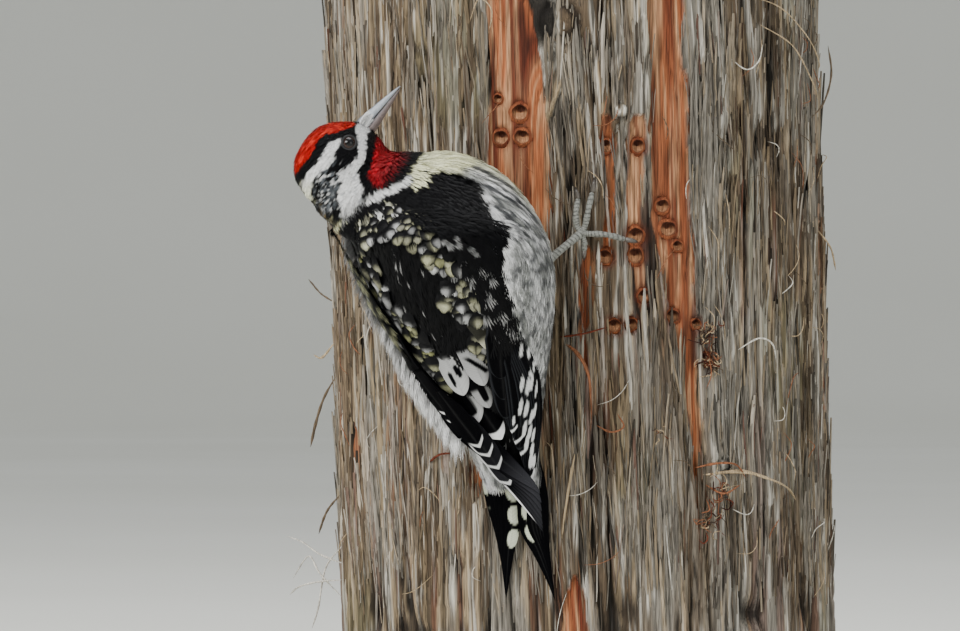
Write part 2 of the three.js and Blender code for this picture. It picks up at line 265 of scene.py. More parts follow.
def stretchedNoise(tree, scale, detail):
    coordinates = addNode(tree, "ShaderNodeTexCoord")
    scale = scale if np.ndim(scale) else (scale, scale, scale)
    mapping = addNode(tree, "ShaderNodeMapping", {"Vector": coordinates.outputs["Object"], "Scale": scale})
    noise = addNode(tree, "ShaderNodeTexNoise",
                    {"Vector": mapping.outputs[0], "Scale": 1.0, "Detail": detail})
    return noise.outputs["Fac"]


def ramp(tree, value, *stops):
    node = addNode(tree, "ShaderNodeValToRGB", {"Fac": value})
    while len(node.color_ramp.elements) < len(stops):
        node.color_ramp.elements.new(0.5)
    for element, (place, colour) in zip(node.color_ramp.elements, stops):
        element.position = place
        element.color = (*colour, 1) if np.ndim(colour) else (colour, colour, colour, 1)
    return node.outputs[0]


def bumpOf(tree, shader, height, strength, depth):
    bump = addNode(tree, "ShaderNodeBump", {"Height": height, "Strength": strength, "Distance": depth * mm})
    tree.links.new(bump.outputs[0], shader.inputs["Normal"])


def tinted(tree, shader, noise, dark, light):
    tint = addNode(tree, "ShaderNodeAttribute", attribute_name="tint")
    shift = ramp(tree, noise, (0.3, dark), (0.7, light))
    colour = addNode(tree, "ShaderNodeMix", data_type="RGBA", blend_type="MULTIPLY")
    colour.inputs["Factor"].default_value = 1.0
    tree.links.new(tint.outputs["Color"], colour.inputs["A"])
    tree.links.new(shift, colour.inputs["B"])
    tree.links.new(colour.outputs["Result"], shader.inputs["Base Color"])


def grainyMaterial(name, scale, detail, shades, bump=None, **sockets):
    material, tree, shader = newMaterial(name, **sockets)
    grain = stretchedNoise(tree, scale, detail)
    tinted(tree, shader, grain, *shades)
    if bump:
        bumpOf(tree, shader, grain, *bump)
    return material


# camera, floor and light

view = {"x": -35.2, "distance": 3000.0, "height": 160.0, "lens": 314.8}


def makeCamera():
    data = bpy.data.cameras.new("camera")
    data.sensor_width = 36
    data.lens = view["lens"]
    data.clip_start = 0.05
    data.clip_end = 60
    camera = bpy.data.objects.new("camera", data)
    scene.collection.objects.link(camera)
    camera.location = (view["x"] * mm, -view["distance"] * mm, view["height"] * mm)
    camera.rotation_euler = (math.pi / 2, 0, 0)
    scene.camera = camera


studio = {"flat": 9000.0, "bend": 3000.0, "wall": 7000.0, "around": 96}


def makeFloor():
    turn = np.linspace(0, math.pi / 2, 14)
    flat, bend = studio["flat"], studio["bend"]
    sweep = [(flat + bend * math.sin(t), bend * (1 - math.cos(t))) for t in turn]
    profile = [(1.0, 0.0), (400, 0), (2000, 0), *sweep, (flat + bend, studio["wall"])]
    points, faces, caps = closedLoft(turned(profile, studio["around"]))
    mesh = joinedMesh("studio_floor", [(points, faces, caps[:1], None)])
    material, tree, shader = newMaterial("paleFloor", Roughness=0.85, Specular_IOR_Level=0.2)
    noise = stretchedNoise(tree, 1.2, 2.0)
    shade = ramp(tree, noise, (0.3, paint(236, 236, 228)), (0.7, paint(241, 241, 234)))
    tree.links.new(shade, shader.inputs["Base Color"])
    newObject(mesh, material)


lamps = [
    {"name": "key", "place": (-1.5, -2.3, 2.3), "size": 1.5, "power": 96.0, "colour": (1.0, 0.985, 0.96)},
    {"name": "fill", "place": (2.1, -2.0, 1.0), "size": 1.8, "power": 20.0, "colour": (0.97, 0.985, 1.0)},
    {"name": "left", "place": (-2.2, -1.2, 0.25), "size": 1.4, "power": 24.0, "colour": (1.0, 1.0, 1.0)},
    {"name": "top", "place": (0.2, 0.4, 2.6), "size": 1.6, "power": 34.0, "colour": (1.0, 1.0, 1.0)},
]


def makeLight():
    for lamp in lamps:
        data = bpy.data.lights.new(lamp["name"], "AREA")
        data.size = lamp["size"]
        data.energy = lamp["power"]
        data.color = lamp["colour"]
        thing = bpy.data.objects.new(lamp["name"], data)
        scene.collection.objects.link(thing)
        thing.location = lamp["place"]
        away = thing.location.copy()
        away.z -= 0.16
        thing.rotation_euler = away.to_track_quat("Z", "Y").to_euler()
        thing.visible_camera = False
    world = bpy.data.worlds.new("world")
    world.use_nodes = True
    world.node_tree.nodes["Background"].inputs["Color"].default_value = (0.93, 0.96, 1.0, 1)
    world.node_tree.nodes["Background"].inputs["Strength"].default_value = 0.6
    scene.world = world


makeCamera()
makeFloor()
makeLight()
print("stage: camera, floor and light")


# one tree that plants small shapes over a surface

def scatterTree(name):
    tree = bpy.data.node_groups.new(name, "GeometryNodeTree")
    sockets = {"Geometry": "Geometry", "Shape": "Object", "Material": "Material", "Seed": "Int"}
    for label in ("Spacing", "Density", "Width", "Length", "Depth", "Size Spread", "Rise", "Rise Spread",
                  "Yaw Spread", "Roll Spread", "Drape", "Sink"):
        sockets[label] = "Float"
    for label, kind in sockets.items():
        tree.interface.new_socket(label, in_out="INPUT", socket_type="NodeSocket" + kind)
    tree.interface.new_socket("Geometry", in_out="OUTPUT", socket_type="NodeSocketGeometry")
    given = addNode(tree, "NodeGroupInput").outputs

    def add(kind, values=None, **settings):
        return addNode(tree, kind, values, **settings).outputs[0]

    def named(label, kind="FLOAT_VECTOR"):
        return add("GeometryNodeInputNamedAttribute", {"Name": label}, data_type=kind)

    def maths(operation, a, b):
        return add("ShaderNodeMath", {0: a, 1: b}, operation=operation)

    def vector(x, y, z):
        return add("ShaderNodeCombineXYZ", {"X": x, "Y": y, "Z": z})

    def spread(label, middle, offset):  # a random number about the middle
        values = {"Seed": maths("ADD", given["Seed"], offset), 2: -1.0, 3: 1.0}
        chance = addNode(tree, "FunctionNodeRandomValue", values, data_type="FLOAT").outputs[1]
        return maths("ADD", maths("MULTIPLY", chance, given[label]), middle)

    def kept(geometry, label, value, kind="FLOAT_VECTOR"):
        values = {"Geometry": geometry, "Name": label, "Value": value}
        return add("GeometryNodeStoreNamedAttribute", values, data_type=kind, domain="POINT")

    planted = addNode(tree, "GeometryNodeDistributePointsOnFaces", {
        "Mesh": given["Geometry"], "Distance Min": given["Spacing"], "Density Max": given["Density"],
        "Density Factor": named("grow", "FLOAT"), "Seed": given["Seed"]}, distribute_method="POISSON").outputs
    where = add("GeometryNodeInputPosition")
    points = kept(planted["Points"], "out", planted["Normal"])
    points = kept(points, "root", where)
    points = kept(points, "number", add("GeometryNodeInputIndex"), "FLOAT")
    turn = add("FunctionNodeAxesToRotation", {"Primary Axis": named("out"), "Secondary Axis": named("along")},
               primary_axis="Z", secondary_axis="Y")
    lean = vector(spread("Rise Spread", given["Rise"], 1), spread("Roll Spread", 0.0, 2),
                  spread("Yaw Spread", 0.0, 3))
    lean = add("FunctionNodeEulerToRotation", {"Euler": lean})
    turned = add("FunctionNodeRotateRotation", {"Rotation": turn, "Rotate By": lean}, rotation_space="LOCAL")
    size = maths("MULTIPLY", spread("Size Spread", 1.0, 4), named("scale", "FLOAT"))
    scaled = vector(*(maths("MULTIPLY", size, given[label]) for label in ("Width", "Length", "Depth")))
    shape = addNode(tree, "GeometryNodeObjectInfo", {"Object": given["Shape"]}).outputs["Geometry"]
    grown = add("GeometryNodeInstanceOnPoints", {"Points": points, "Instance": shape, "Rotation": turned,
                                                 "Scale": scaled})
    real = add("GeometryNodeRealizeInstances", {"Geometry": grown})
    away = add("ShaderNodeVectorMath", {0: where, 1: named("root")}, operation="SUBTRACT")
    reach = addNode(tree, "ShaderNodeVectorMath", {0: away}, operation="LENGTH").outputs["Value"]
    drop = maths("ADD", maths("MULTIPLY", maths("MULTIPLY", reach, reach), given["Drape"]), given["Sink"])
    offset = add("ShaderNodeVectorMath", {0: named("out"), "Scale": maths("MULTIPLY", drop, -1.0)},
                 operation="SCALE")
    draped = add("GeometryNodeSetPosition", {"Geometry": real, "Offset": offset})
    dressed = add("GeometryNodeSetMaterial", {"Geometry": draped, "Material": given["Material"]})
    tree.links.new(dressed, addNode(tree, "NodeGroupOutput").inputs[0])
    return tree


scatter = scatterTree("plantOverSurface")


def plant(name, surface, shape, material, sizes):
    holder = newObject(surface.copy())
    holder.name = name + "_surface"
    model = newObject(shape.copy())
    modifier = holder.modifiers.new("plant", "NODES")
    modifier.node_group = scatter
    given = {"Shape": model, "Material": material, **sizes}
    for socket in scatter.interface.items_tree:
        if socket.in_out == "INPUT" and socket.name in given:
            modifier[socket.identifier] = given[socket.name]
    holder.update_tag()
    bpy.context.view_layer.update()
    graph = bpy.context.evaluated_depsgraph_get()
    mesh = bpy.data.meshes.new_from_object(holder.evaluated_get(graph), preserve_all_data_layers=True,
                                           depsgraph=graph)
    mesh.name = name
    bpy.data.objects.remove(holder)
    bpy.data.objects.remove(model)
    mesh.shade_smooth()
    return mesh


# the trunk

trunk = {"radius": 88.5, "low": 42.0, "high": 278.0, "lean": -0.029, "inset": 1.7, "lobe": 0.8,
         "frontColumns": 640, "frontRows": 150, "backColumns": 300, "backRows": 110, "frontHalf": 1.72}


def trunkShift(z):
    return trunk["lean"] * (z - (trunk["low"] + trunk["high"]) / 2)


def onTrunk(arc, z, high=0.0):
    turn = arc / trunk["radius"]
    reach = trunk["radius"] + high
    return np.stack([trunkShift(z) + np.sin(turn) * reach, -np.cos(turn) * reach, z + 0 * arc], -1)


def trunkLobes(arc, z):
    a = arc / trunk["radius"]
    wave = 0.9 * np.sin(5 * a + 0.6) + 0.6 * np.sin(9 * a + 2.1 + z / 160) - 0.5 * np.sin(2 * a + z / 90)
    return trunk["lobe"] * wave - trunk["inset"]


# where the outer bark is gone: rows of height, arc from the front and half width
strips = [
    [(290, -24.5, 5.6), (270, -23.4, 6.6), (249, -21.4, 9.9), (217, -21.2, 12.0), (185, -21.3, 12.2),
     (150, -21.7, 9), (128, -22, 1)],
    [(230, 10.9, 1.4), (219, 10.6, 3.5), (212, 10.6, 2.1), (183, 10.2, 1.8), (177, 10.1, 0.5)],
    [(184, 2.6, 1.2), (179, 2.4, 2.4), (158, 1.2, 2.1), (154, 1.1, 0.3)],
    [(230, 22.6, 1.6), (219, 21.6, 3.3), (191, 20.4, 2.9), (181, 21.1, 2.9), (162, 22.8, 0.8)],
    [(290, 34.4, 6.4), (248, 33.5, 6.5), (218, 34.0, 7.7), (191, 34.3, 7.8), (165, 36.6, 5.9),
     (148, 38.7, 3.2), (131, 40.1, 1.9), (105, 41.2, 1.6), (97, 42.1, 3.2), (90, 42.0, 0.6)],
    [(158, -0.6, 0.5), (150, 0.6, 1.5), (122, 1.2, 1.9), (118, 1.1, 0.3)],
    [(122, -103.8, 2.0), (108, -104.7, 5.4), (89, -106.3, 6.6), (82, -106.7, 1.6)],
    [(110, -41.7, 0.8), (106, -41.8, 1.9), (99, -42.0, 1.9), (95, -42.1, 0.4)],
    [(69, -5.0, 0.7), (61, -5.1, 3.6), (42, -5.5, 4.4)],
    [(240, 118, 1.0), (205, 120, 5.0), (150, 121, 6.0), (96, 124, 3.0), (70, 124, 0.8)],
    [(215, -170, 1.0), (180, -172, 4.0), (120, -171, 5.5), (66, -174, 1.0)],
]
# holes drilled for sap: arc, height and radius
wells = [(-20.3, 230.5, 3.0), (-27.8, 221.8, 2.7), (-19.7, 222.0, 2.7), (-28.4, 235.4, 1.6),
         (10.6, 218.8, 2.3), (22.3, 218.8, 2.4), (20.4, 187.6, 3.0), (30.8, 198.0, 2.5), (32.8, 190.1, 2.9),
         (36.3, 184.2, 1.9), (9.1, 180.3, 2.6), (20.2, 180.7, 2.8), (22.9, 166.8, 2.2), (11.6, 156.4, 2.5),
         (17.9, 156.9, 2.3), (33.7, 159.8, 2.4), (42.9, 157.0, 1.9), (46.6, 144.9, 2.2)]
knots = [(15.9, 231.3, 3.2), (-5.0, 262.0, 6.5), (52.0, 108.0, 2.6)]


def strippedShare(arc, z):
    share = np.zeros(len(arc))
    ragged = 2.6 * (noiseAt(31, arc / 3.1, z / 14) - 0.5)
    ragged += 1.6 * (noiseAt(32, arc / 1.1, z / 5) - 0.5)
    for rows in strips:
        rows = np.array(rows[::-1], float)
        middle = np.interp(z, rows[:, 0], rows[:, 1])
        half = np.interp(z, rows[:, 0], rows[:, 2], left=-9, right=-9)
        inside = half + np.minimum(half * 0.4 + 0.2, 1.0) * ragged - np.abs(arc - middle)
        share = np.maximum(share, ease(inside, -0.25, 0.35))
    return share


def nearest(arc, z, spots):
    gap = np.full(len(arc), 99.0)
    for a, h, radius in spots:
        gap = np.minimum(gap, np.hypot(arc - a, z - h) / radius)
    return gap


# how far each kind of roughness stands out of the bark or cuts into it
barkRough = {"swell": 1.5, "strands": 1.0, "fibres": 0.5, "shreds": 0.55, "fissure": 2.3, "second": 0.85,
             "bare": -1.35, "bareStrands": 0.30, "bareFibres": 0.14, "bareCrack": 0.5, "well": -4.0}


def barkRelief(arc, z):
    wander = 4.0 * (noiseAt(1, arc / 26, z / 75) - 0.5)
    wander += 1.3 * (noiseAt(2, arc / 7, z / 26) - 0.5)
    for a, h, radius in knots:  # the grain parts round a knot
        off = np.stack([arc - a, (z - h) / 2.4], 1)
        wander += 1.6 * radius * np.sign(off[:, 0]) * np.exp(-((off / radius / 1.5) ** 2).sum(1))
    across = arc + wander
    plates = noiseAt(3, across / 6.8, z / 90)
    fissure = bell(plates, 0.5, 0.05)
    second = bell(noiseAt(4, across / 3.0, z / 46), 0.5, 0.06)
    strands = noiseAt(5, across / 1.35, z / 30) - 0.5
    fibres = noiseAt(6, across / 0.62, z / 12) - 0.5
    shreds = ease(noiseAt(7, across / 2.1, z / 17), 0.5, 0.56)
    swell = noiseAt(8, across / 14, z / 60) - 0.5
    b = barkRough
    rough = b["swell"] * swell + b["strands"] * strands + b["fibres"] * fibres + b["shreds"] * shreds
    rough = rough - b["fissure"] * fissure - b["second"] * second
    bare = strippedShare(arc, z)
    smoothWood = b["bare"] + b["bareStrands"] * strands + b["bareFibres"] * fibres
    smoothWood -= b["bareCrack"] * bell(noiseAt(9, across / 4.0, z / 70), 0.5, 0.05)
    relief = mix(rough, smoothWood, bare)
    gap = nearest(arc, z, wells)
    relief = mix(relief, b["well"], 1 - ease(gap, 0.95, 1.3))
    bump = nearest(arc, z, knots)
    lump = noiseAt(28, arc / 1.1, z / 1.1)
    relief = mix(relief, 0.5 + 1.6 * lump - 1.8 * bell(bump, 1.05, 0.2), ease(bump, 1.6, 1.1))
    return relief, bare, fissure, second, strands, fibres, across


barkPaint = {"grey": paint(132, 126, 116), "silver": paint(196, 191, 180), "brown": paint(92, 78, 62),
             # creviceShade is a near-black used as painted shade in the bark's fissures, in its low fibres
             # and in the groove round each knot
             "tan": paint(168, 148, 118), "creviceShade": paint(18, 14, 11), "moss": paint(108, 112, 80),
             "orange": paint(156, 92, 58), "red": paint(96, 44, 28), "peach": paint(196, 152, 114),
             # pitchAndShade is the colour of sap pitch, and is also used as painted shade in the sap wells
             "pitchAndShade": paint(46, 20, 13)}


def barkTint(arc, z):
    bare, fissure, second, strands, fibres, across = barkRelief(arc, z)[1:]
    p = barkPaint
    tone = noiseAt(11, across / 9, z / 80)
    fine = noiseAt(12, across / 1.2, z / 34)
    side = ease(np.abs(arc + 100), 90, 20)  # the left side is browner
    colour = blend(p["brown"], p["grey"], ease(tone + 0.25 * (fine - 0.5) - 0.25 * side, 0.25, 0.62))
    colour = blend(colour, p["tan"], 0.7 * ease(fine + 0.2 * side, 0.6, 0.85))
    colour = blend(colour, p["silver"], 0.8 * ease(noiseAt(13, across / 0.9, z / 22), 0.58, 0.9))
    colour = blend(colour, p["moss"], 0.25 * ease(noiseAt(14, arc / 16, z / 50), 0.62, 0.8))
    rust = noiseAt(15, across / 5, z / 60)
    colour = blend(colour, p["red"], 0.4 * ease(rust, 0.7, 0.85))
    # painted shade: the fissures and the low places between fibres and strands are darkened towards black
    shadedLows = np.clip(0.95 * fissure + 0.75 * second + 0.85 * ease(-fibres - strands, 0.2, 0.7), 0, 1)
    colour = blend(colour, p["creviceShade"], 0.93 * shadedLows)
    wood = blend(p["orange"], p["red"], ease(noiseAt(16, across / 2.6, z / 60), 0.42, 0.75))
    wood = blend(wood, p["peach"], 0.75 * ease(noiseAt(17, across / 1.5, z / 45), 0.55, 0.85))
    pale = bell(arc, 21, 4.5) * ease(z, 150, 190)
    wood = blend(wood, p["peach"], 0.75 * pale)
    wood = blend(wood, p["red"], 0.55 * ease(np.abs(arc - 34), 9, 3)
                 * ease(noiseAt(18, across / 2.2, z / 50), 0.35, 0.6))
    wood = blend(wood, p["peach"], 0.55 * ease(noiseAt(19, across / 0.8, z / 26), 0.6, 0.8))
    wood = blend(wood, p["red"], 0.7 * ease(noiseAt(20, across / 1.0, z / 38), 0.58, 0.72))
    # painted shade: the bare wood is darker where its fibres sink
    wood = blend(wood, p["creviceShade"], 0.55 * ease(-fibres, 0.12, 0.4))
    colour = blend(colour, wood, bare)
    colour = blend(colour, p["red"], 0.6 * (1 - ease(nearest(arc, z, wells), 1.15, 2.1)))
    sap = np.exp(-(((arc - 42.5) / 3.6) ** 2 + ((z - 152) / 11) ** 2))
    colour = blend(colour, p["pitchAndShade"], 0.75 * np.clip(sap * 1.3 * ease(fine, 0.2, 0.6), 0, 1))
    # painted shade: a dark ring in the groove round each knot
    spot = nearest(arc, z, knots)
    colour = blend(colour, p["creviceShade"], 0.8 * ease(spot, 1.5, 1.0) * ease(spot, 0.5, 0.8))
    lichen = ease(noiseAt(29, arc / 0.9, z / 0.9), 0.4, 0.6)
    return blend(colour, p["silver"] * 1.2, 0.9 * lichen * ease(nearest(arc, z, knots[:1]), 0.75, 0.5))


def trunkSheet(name, low, high, columns, rows):
    arc, z = np.meshgrid(np.linspace(low, high, columns), np.linspace(trunk["low"], trunk["high"], rows))
    arc, z = arc.ravel(), z.ravel()
    relief = barkRelief(arc, z)[0]
    edge = np.minimum(z - trunk["low"], trunk["high"] - z)
    high = trunkLobes(arc, z) + relief * ease(edge, -1.5, 3)
    mesh = newMesh(name, onTrunk(arc, z, high), gridFaces(rows, columns))
    setTint(mesh, barkTint(arc, z))
    return mesh


def endGrain(name, z, facing):
    rings, around = 110, 150
    share, arc = np.meshgrid(np.linspace(0.004, 1, rings),
                             np.linspace(-math.pi, math.pi, around, endpoint=False), indexing="ij")
    share, arc = share.ravel(), arc.ravel() * trunk["radius"]
    turn, z = arc / trunk["radius"], np.full(len(arc), z)
    rim = trunkLobes(arc, z) + 0.4 * barkRelief(arc, z)[0]
    high = (trunk["radius"] + rim) * share - trunk["radius"]
    sawn = 0.25 * (noiseAt(41, arc * share / 6, share * 30) - 0.5)
    points = onTrunk(arc, z, high)
    points[:, 2] += facing * sawn * (share < 0.97)
    faces = gridFaces(rings, around, wrap=True)
    mesh = newMesh(name, points, [faces if facing > 0 else faces[:, ::-1]])
    bark = ease(share, 0.945, 0.955)
    radius = share * trunk["radius"] + 1.6 * noiseAt(42, np.cos(turn) * 3, np.sin(turn) * 3)
    ring = (radius / 4.3 + 0.5 * noiseAt(43, radius / 9, radius * 0)) % 1
    wood = blend(paint(206, 170, 124), paint(150, 104, 66), ring**2 * 0.85)
    wood = blend(wood, paint(150, 84, 52), 0.7 * ease(share, 0.62, 0.4))
    setTint(mesh, blend(wood, barkPaint["brown"] * 0.6, bark))
    return mesh


def ribbonShape(rows=6):
    v = np.linspace(0, 1, rows)
    half = 0.5 * np.clip(np.sin(math.pi * (0.08 + 0.84 * v)) * 1.5, 0, 1) * (1 + 0.15 * np.sin(v * 17))
    middle = 0.14 * np.sin(v * 7)
    points = np.concatenate([np.stack([middle + side * half, v, ridge + 0 * v], 1)
                             for side, ridge in ((-1, 0.0), (-0.15, 1.0), (1, 0.0))])
    points = points.reshape(3, rows, 3).transpose(1, 0, 2).reshape(-1, 3)
    return newMesh("ribbon", points / mm, gridFaces(rows, 3)[:, ::-1])


def barkSurface():
    columns, rows = 260, 60
    arc, z = np.meshgrid(np.linspace(-math.pi, math.pi, columns) * trunk["radius"],
                         np.linspace(trunk["low"] + 4, trunk["high"] - 4, rows))
    arc, z = arc.ravel(), z.ravel()
    relief, bare, fissure = barkRelief(arc, z)[:3]
    keep = (1 - bare) * ease(nearest(arc, z, wells), 1.2, 2.2) * (1 - 0.9 * fissure)
    for a, h, radius in wells:  # no ribbon that starts lower down hangs over a hole
        notch = ease(1.6 * radius - np.abs(arc - a), 0, 0.5) * ease(z, h - 19, h - 17)
        keep *= 1 - notch * ease(-z, -h - 3, -h - 1)
    keep *= ease(np.minimum(z - trunk["low"], trunk["high"] - z), 4, 34)
    points = onTrunk(arc, z, trunkLobes(arc, z) + 0.4 * relief)
    tilt = 0.10 * (noiseAt(21, arc / 12, z / 30) - 0.5)
    along = onTrunk(arc + tilt * 10, z + 10, 0) - onTrunk(arc, z, 0)
    fields = {"grow": keep, "along": unit(along), "scale": 0.55 + 0.9 * noiseAt(22, arc / 8, z / 8)}
    return newMesh("bark_field", points, gridFaces(rows, columns), fields)


shreds = {
    "bark_ribbons": {"Spacing": 1.5 * mm, "Density": 120000.0, "Width": 0.78 * mm, "Length": 17 * mm,
                     "Depth": 0.5 * mm, "Size Spread": 0.6, "Rise": 0.012, "Rise Spread": 0.02,
                     "Yaw Spread": 0.05, "Roll Spread": 0.25, "Drape": 0.0, "Sink": 0.2 * mm, "Seed": 5},
    "bark_fibres": {"Spacing": 1.3 * mm, "Density": 90000.0, "Width": 0.35 * mm, "Length": 14 * mm,
                    "Depth": 0.3 * mm, "Size Spread": 0.6, "Rise": 0.03, "Rise Spread": 0.05,
                    "Yaw Spread": 0.16, "Roll Spread": 0.8, "Drape": 0.0, "Sink": 0.0, "Seed": 9},
}


def trunkAround(points):
    shift = trunkShift(points[:, 2])
    return np.arctan2(points[:, 0] - shift, -points[:, 1]) * trunk["radius"]


def growBark(material):
    field = barkSurface()
    ribbon = ribbonShape()
    for name, sizes in shreds.items():
        mesh = plant(name, field, ribbon, material, sizes)
        root = readField(mesh, "root") / mm
        number = readField(mesh, "number")
        place = readPoints(mesh)
        arc, z = trunkAround(root), root[:, 2]
        chance = noiseAt(23, number * 0.731, number * 0 + 0.5)
        colour = barkTint(arc, z)
        brown = blend(barkPaint["brown"], barkPaint["grey"], ease(noiseAt(24, arc / 10, z / 60), 0.3, 0.6))
        colour = mix(colour, brown, 0.75)
        bright = (0.05 + 1.65 * chance) * (1 + 0.3 * ease(-arc, 30, 90))
        colour = blend(colour * bright[:, None], barkPaint["silver"], 0.7 * ease(chance, 0.68, 0.9))
        warm = noiseAt(25, number * 0.417, number * 0 + 3.5)
        colour = blend(colour, barkPaint["tan"], 0.5 * ease(warm, 0.55, 0.8))
        colour = blend(colour, barkPaint["red"], 0.6 * ease(warm, 0.2, 0.08))
        setTint(mesh, colour)
        place[:, 2] = np.clip(place[:, 2], trunk["low"] + 0.4, trunk["high"] - 0.4)  # the saw cut them level
        mesh.vertices.foreach_set("co", (place * mm).ravel())
        finishPiece(mesh, material, "bark")
        print("bark:", name, len(mesh.polygons), "faces")


# each hole is a shallow cup with a raised lip, let into the stripped wood:
# its rings as a share of the radius, and the level of each
wellRings = np.array([1.5, 1.3, 1.17, 1.08, 1.01, 0.95, 0.9, 0.85, 0.78, 0.66, 0.5, 0.32, 0.15, 0.02])
wellLevels = np.array([-1.9, -1.5, -1.25, -1.05, -1.0, -1.1, -1.6, -2.2, -2.6, -2.9, -3.0, -2.9, -2.8, -2.8])


def makeWells(material):
    p, parts, columns = barkPaint, [], 40
    turn = fullTurn(columns)
    deep = np.repeat(ease(wellRings, 0.98, 0.8), columns)
    # low is 1 on the upper side of each well, where the painted shade goes
    low = np.tile(ease(np.sin(turn), -0.2, 0.9), len(wellRings))
    lip = np.repeat(bell(wellRings, 0.93, 0.08), columns)
    outer = np.repeat(ease(wellRings, 1.15, 1.5), columns)
    for k, (arc, z, radius) in enumerate(wells):
        wobble = 1 + 0.05 * np.sin(turn * 2 + k) + 0.03 * np.sin(turn * 5 + 2 * k)
        r = wellRings[:, None] * radius * mix(1, wobble, ease(wellRings, 0.2, 1)[:, None])
        a, h = (arc + r * np.cos(turn)).ravel(), (z + r * 0.92 * np.sin(turn)).ravel()
        rough = 0.3 * (noiseAt(91, a / 0.7, h / 1.6) - 0.5)
        base = trunkLobes(a, h) + np.repeat(wellLevels, columns) + rough
        tone = blend(p["orange"], p["red"], noiseAt(92, a / 1.2, h / 5))
        # inside each cup the lower side is painted lighter peach and the upper side darker: painted light and
        # painted shade; the dark ring at the lip, strongest on the upper side, is painted shade too
        tone = blend(tone, p["peach"], deep * 0.6 * (1 - low))
        tone = blend(tone, p["pitchAndShade"], deep * 0.85 * low)
        tone = blend(tone, p["pitchAndShade"], lip * (0.45 + 0.4 * low))
        tone = blend(tone, p["red"], 0.5 * outer)
        parts.append((onTrunk(a, h, base), gridFaces(len(wellRings), columns, wrap=True), None, tone))
    finishPiece(joinedMesh("trunk_sap_wells", parts), material, "bark")


strands = [  # loose strips and curls: width, colour name, then arc, height and height off the bark along each
    (1.5, "tan", [(43, 104.5, 0.3), (58, 105.6, 2.6), (70, 103, 4.2), (82, 99.6, 3.0), (90, 95, 1.0)]),
    (0.9, "orange", [(40, 107, 0.4), (47, 108.5, 3.2), (55, 108, 3.6), (61, 103, 2.0)]),
    (0.8, "orange", [(44, 101, 0.4), (50, 98, 2.8), (57, 101, 3.4)]),
    (1.5, "orange", [(-6, 150.5, 0.4), (-1.6, 146.6, 3.4), (1.6, 140.0, 3.6), (2.4, 131, 2.2),
                     (2.5, 122, 0.8)]),
    (0.8, "red", [(-8, 152.5, 0.5), (0, 153.6, 2.4), (9, 156, 2.0)]),
    (0.7, "orange", [(4, 122, 0.4), (9, 119.6, 2.6), (13.4, 121.5, 2.8), (11.5, 126, 1.6)]),
    (1.1, "tan", [(-3.8, 112, 0.2), (-5.6, 103, 1.4), (-8, 90, 1.6), (-9.2, 82, 0.6)]),
    (0.5, "tan", [(76, 262, 1), (90, 255, 4), (101, 243, 5), (112, 236, 3)]),
    (0.45, "tan", [(70, 272, 1), (84, 268, 4), (97, 258, 6), (108, 250, 5), (118, 247, 2)]),
    (0.5, "silver", [(60, 250, 0.6), (66, 246, 3), (72, 249, 3.4), (76, 255, 2)]),
    (0.45, "tan", [(-38, 262, 0.6), (-33, 270, 3), (-28, 266, 4), (-30, 258, 2)]),
    (1.0, "red", [(-60, 108.5, 0.6), (-54, 111.5, 2.2), (-49, 112, 1.2)]),
    (0.3, "tan", [(-66, 98, 0.5), (-61, 100, 2), (-57, 98, 2.4), (-55, 95, 1.2)]),
    (0.9, "brown", [(-128, 165, 1), (-133, 168, 5), (-136, 173, 9)]),
    (1.2, "brown", [(-126, 138, 1), (-133, 130, 5), (-137, 121, 8), (-138, 113, 10)]),
    (1.0, "tan", [(-128, 150, 1), (-134, 145, 5), (-139, 146, 8)]),
    (0.9, "brown", [(-124, 96, 1), (-131, 90, 5), (-136, 82, 8)]),
    (0.8, "silver", [(-122, 72, 1), (-132, 75, 8), (-139, 79, 14), (-143, 81, 20)]),
    (0.7, "silver", [(-124, 66, 1), (-133, 65, 9), (-140, 63, 16), (-145, 60, 20)]),
    (0.6, "silver", [(-126, 60, 1), (-133, 68, 8), (-138, 74, 12), (-140, 66, 18)]),
    (0.6, "silver", [(-122, 78, 1), (-130, 70, 6), (-137, 56, 9), (-142, 48, 12)]),
    (0.8, "brown", [(110, 230, 1), (118, 236, 4), (124, 246, 6), (126, 256, 5)]),
    (0.7, "tan", [(114, 190, 1), (121, 184, 4), (127, 176, 5)]),
    (0.6, "silver", [(60, 148, 0.6), (68, 152, 3.4), (75, 150, 3.6), (79, 144, 2)]),
]


# arc, height, reach and number of fibres of each tangle
tangles = [(46, 153, 3.2, 34), (47, 144, 3.4, 34), (45, 90, 4.2, 30), (50, 97, 4.5, 22), (26, 120, 2.0, 8)]
looseFibres = 90  # short curly fibres all over


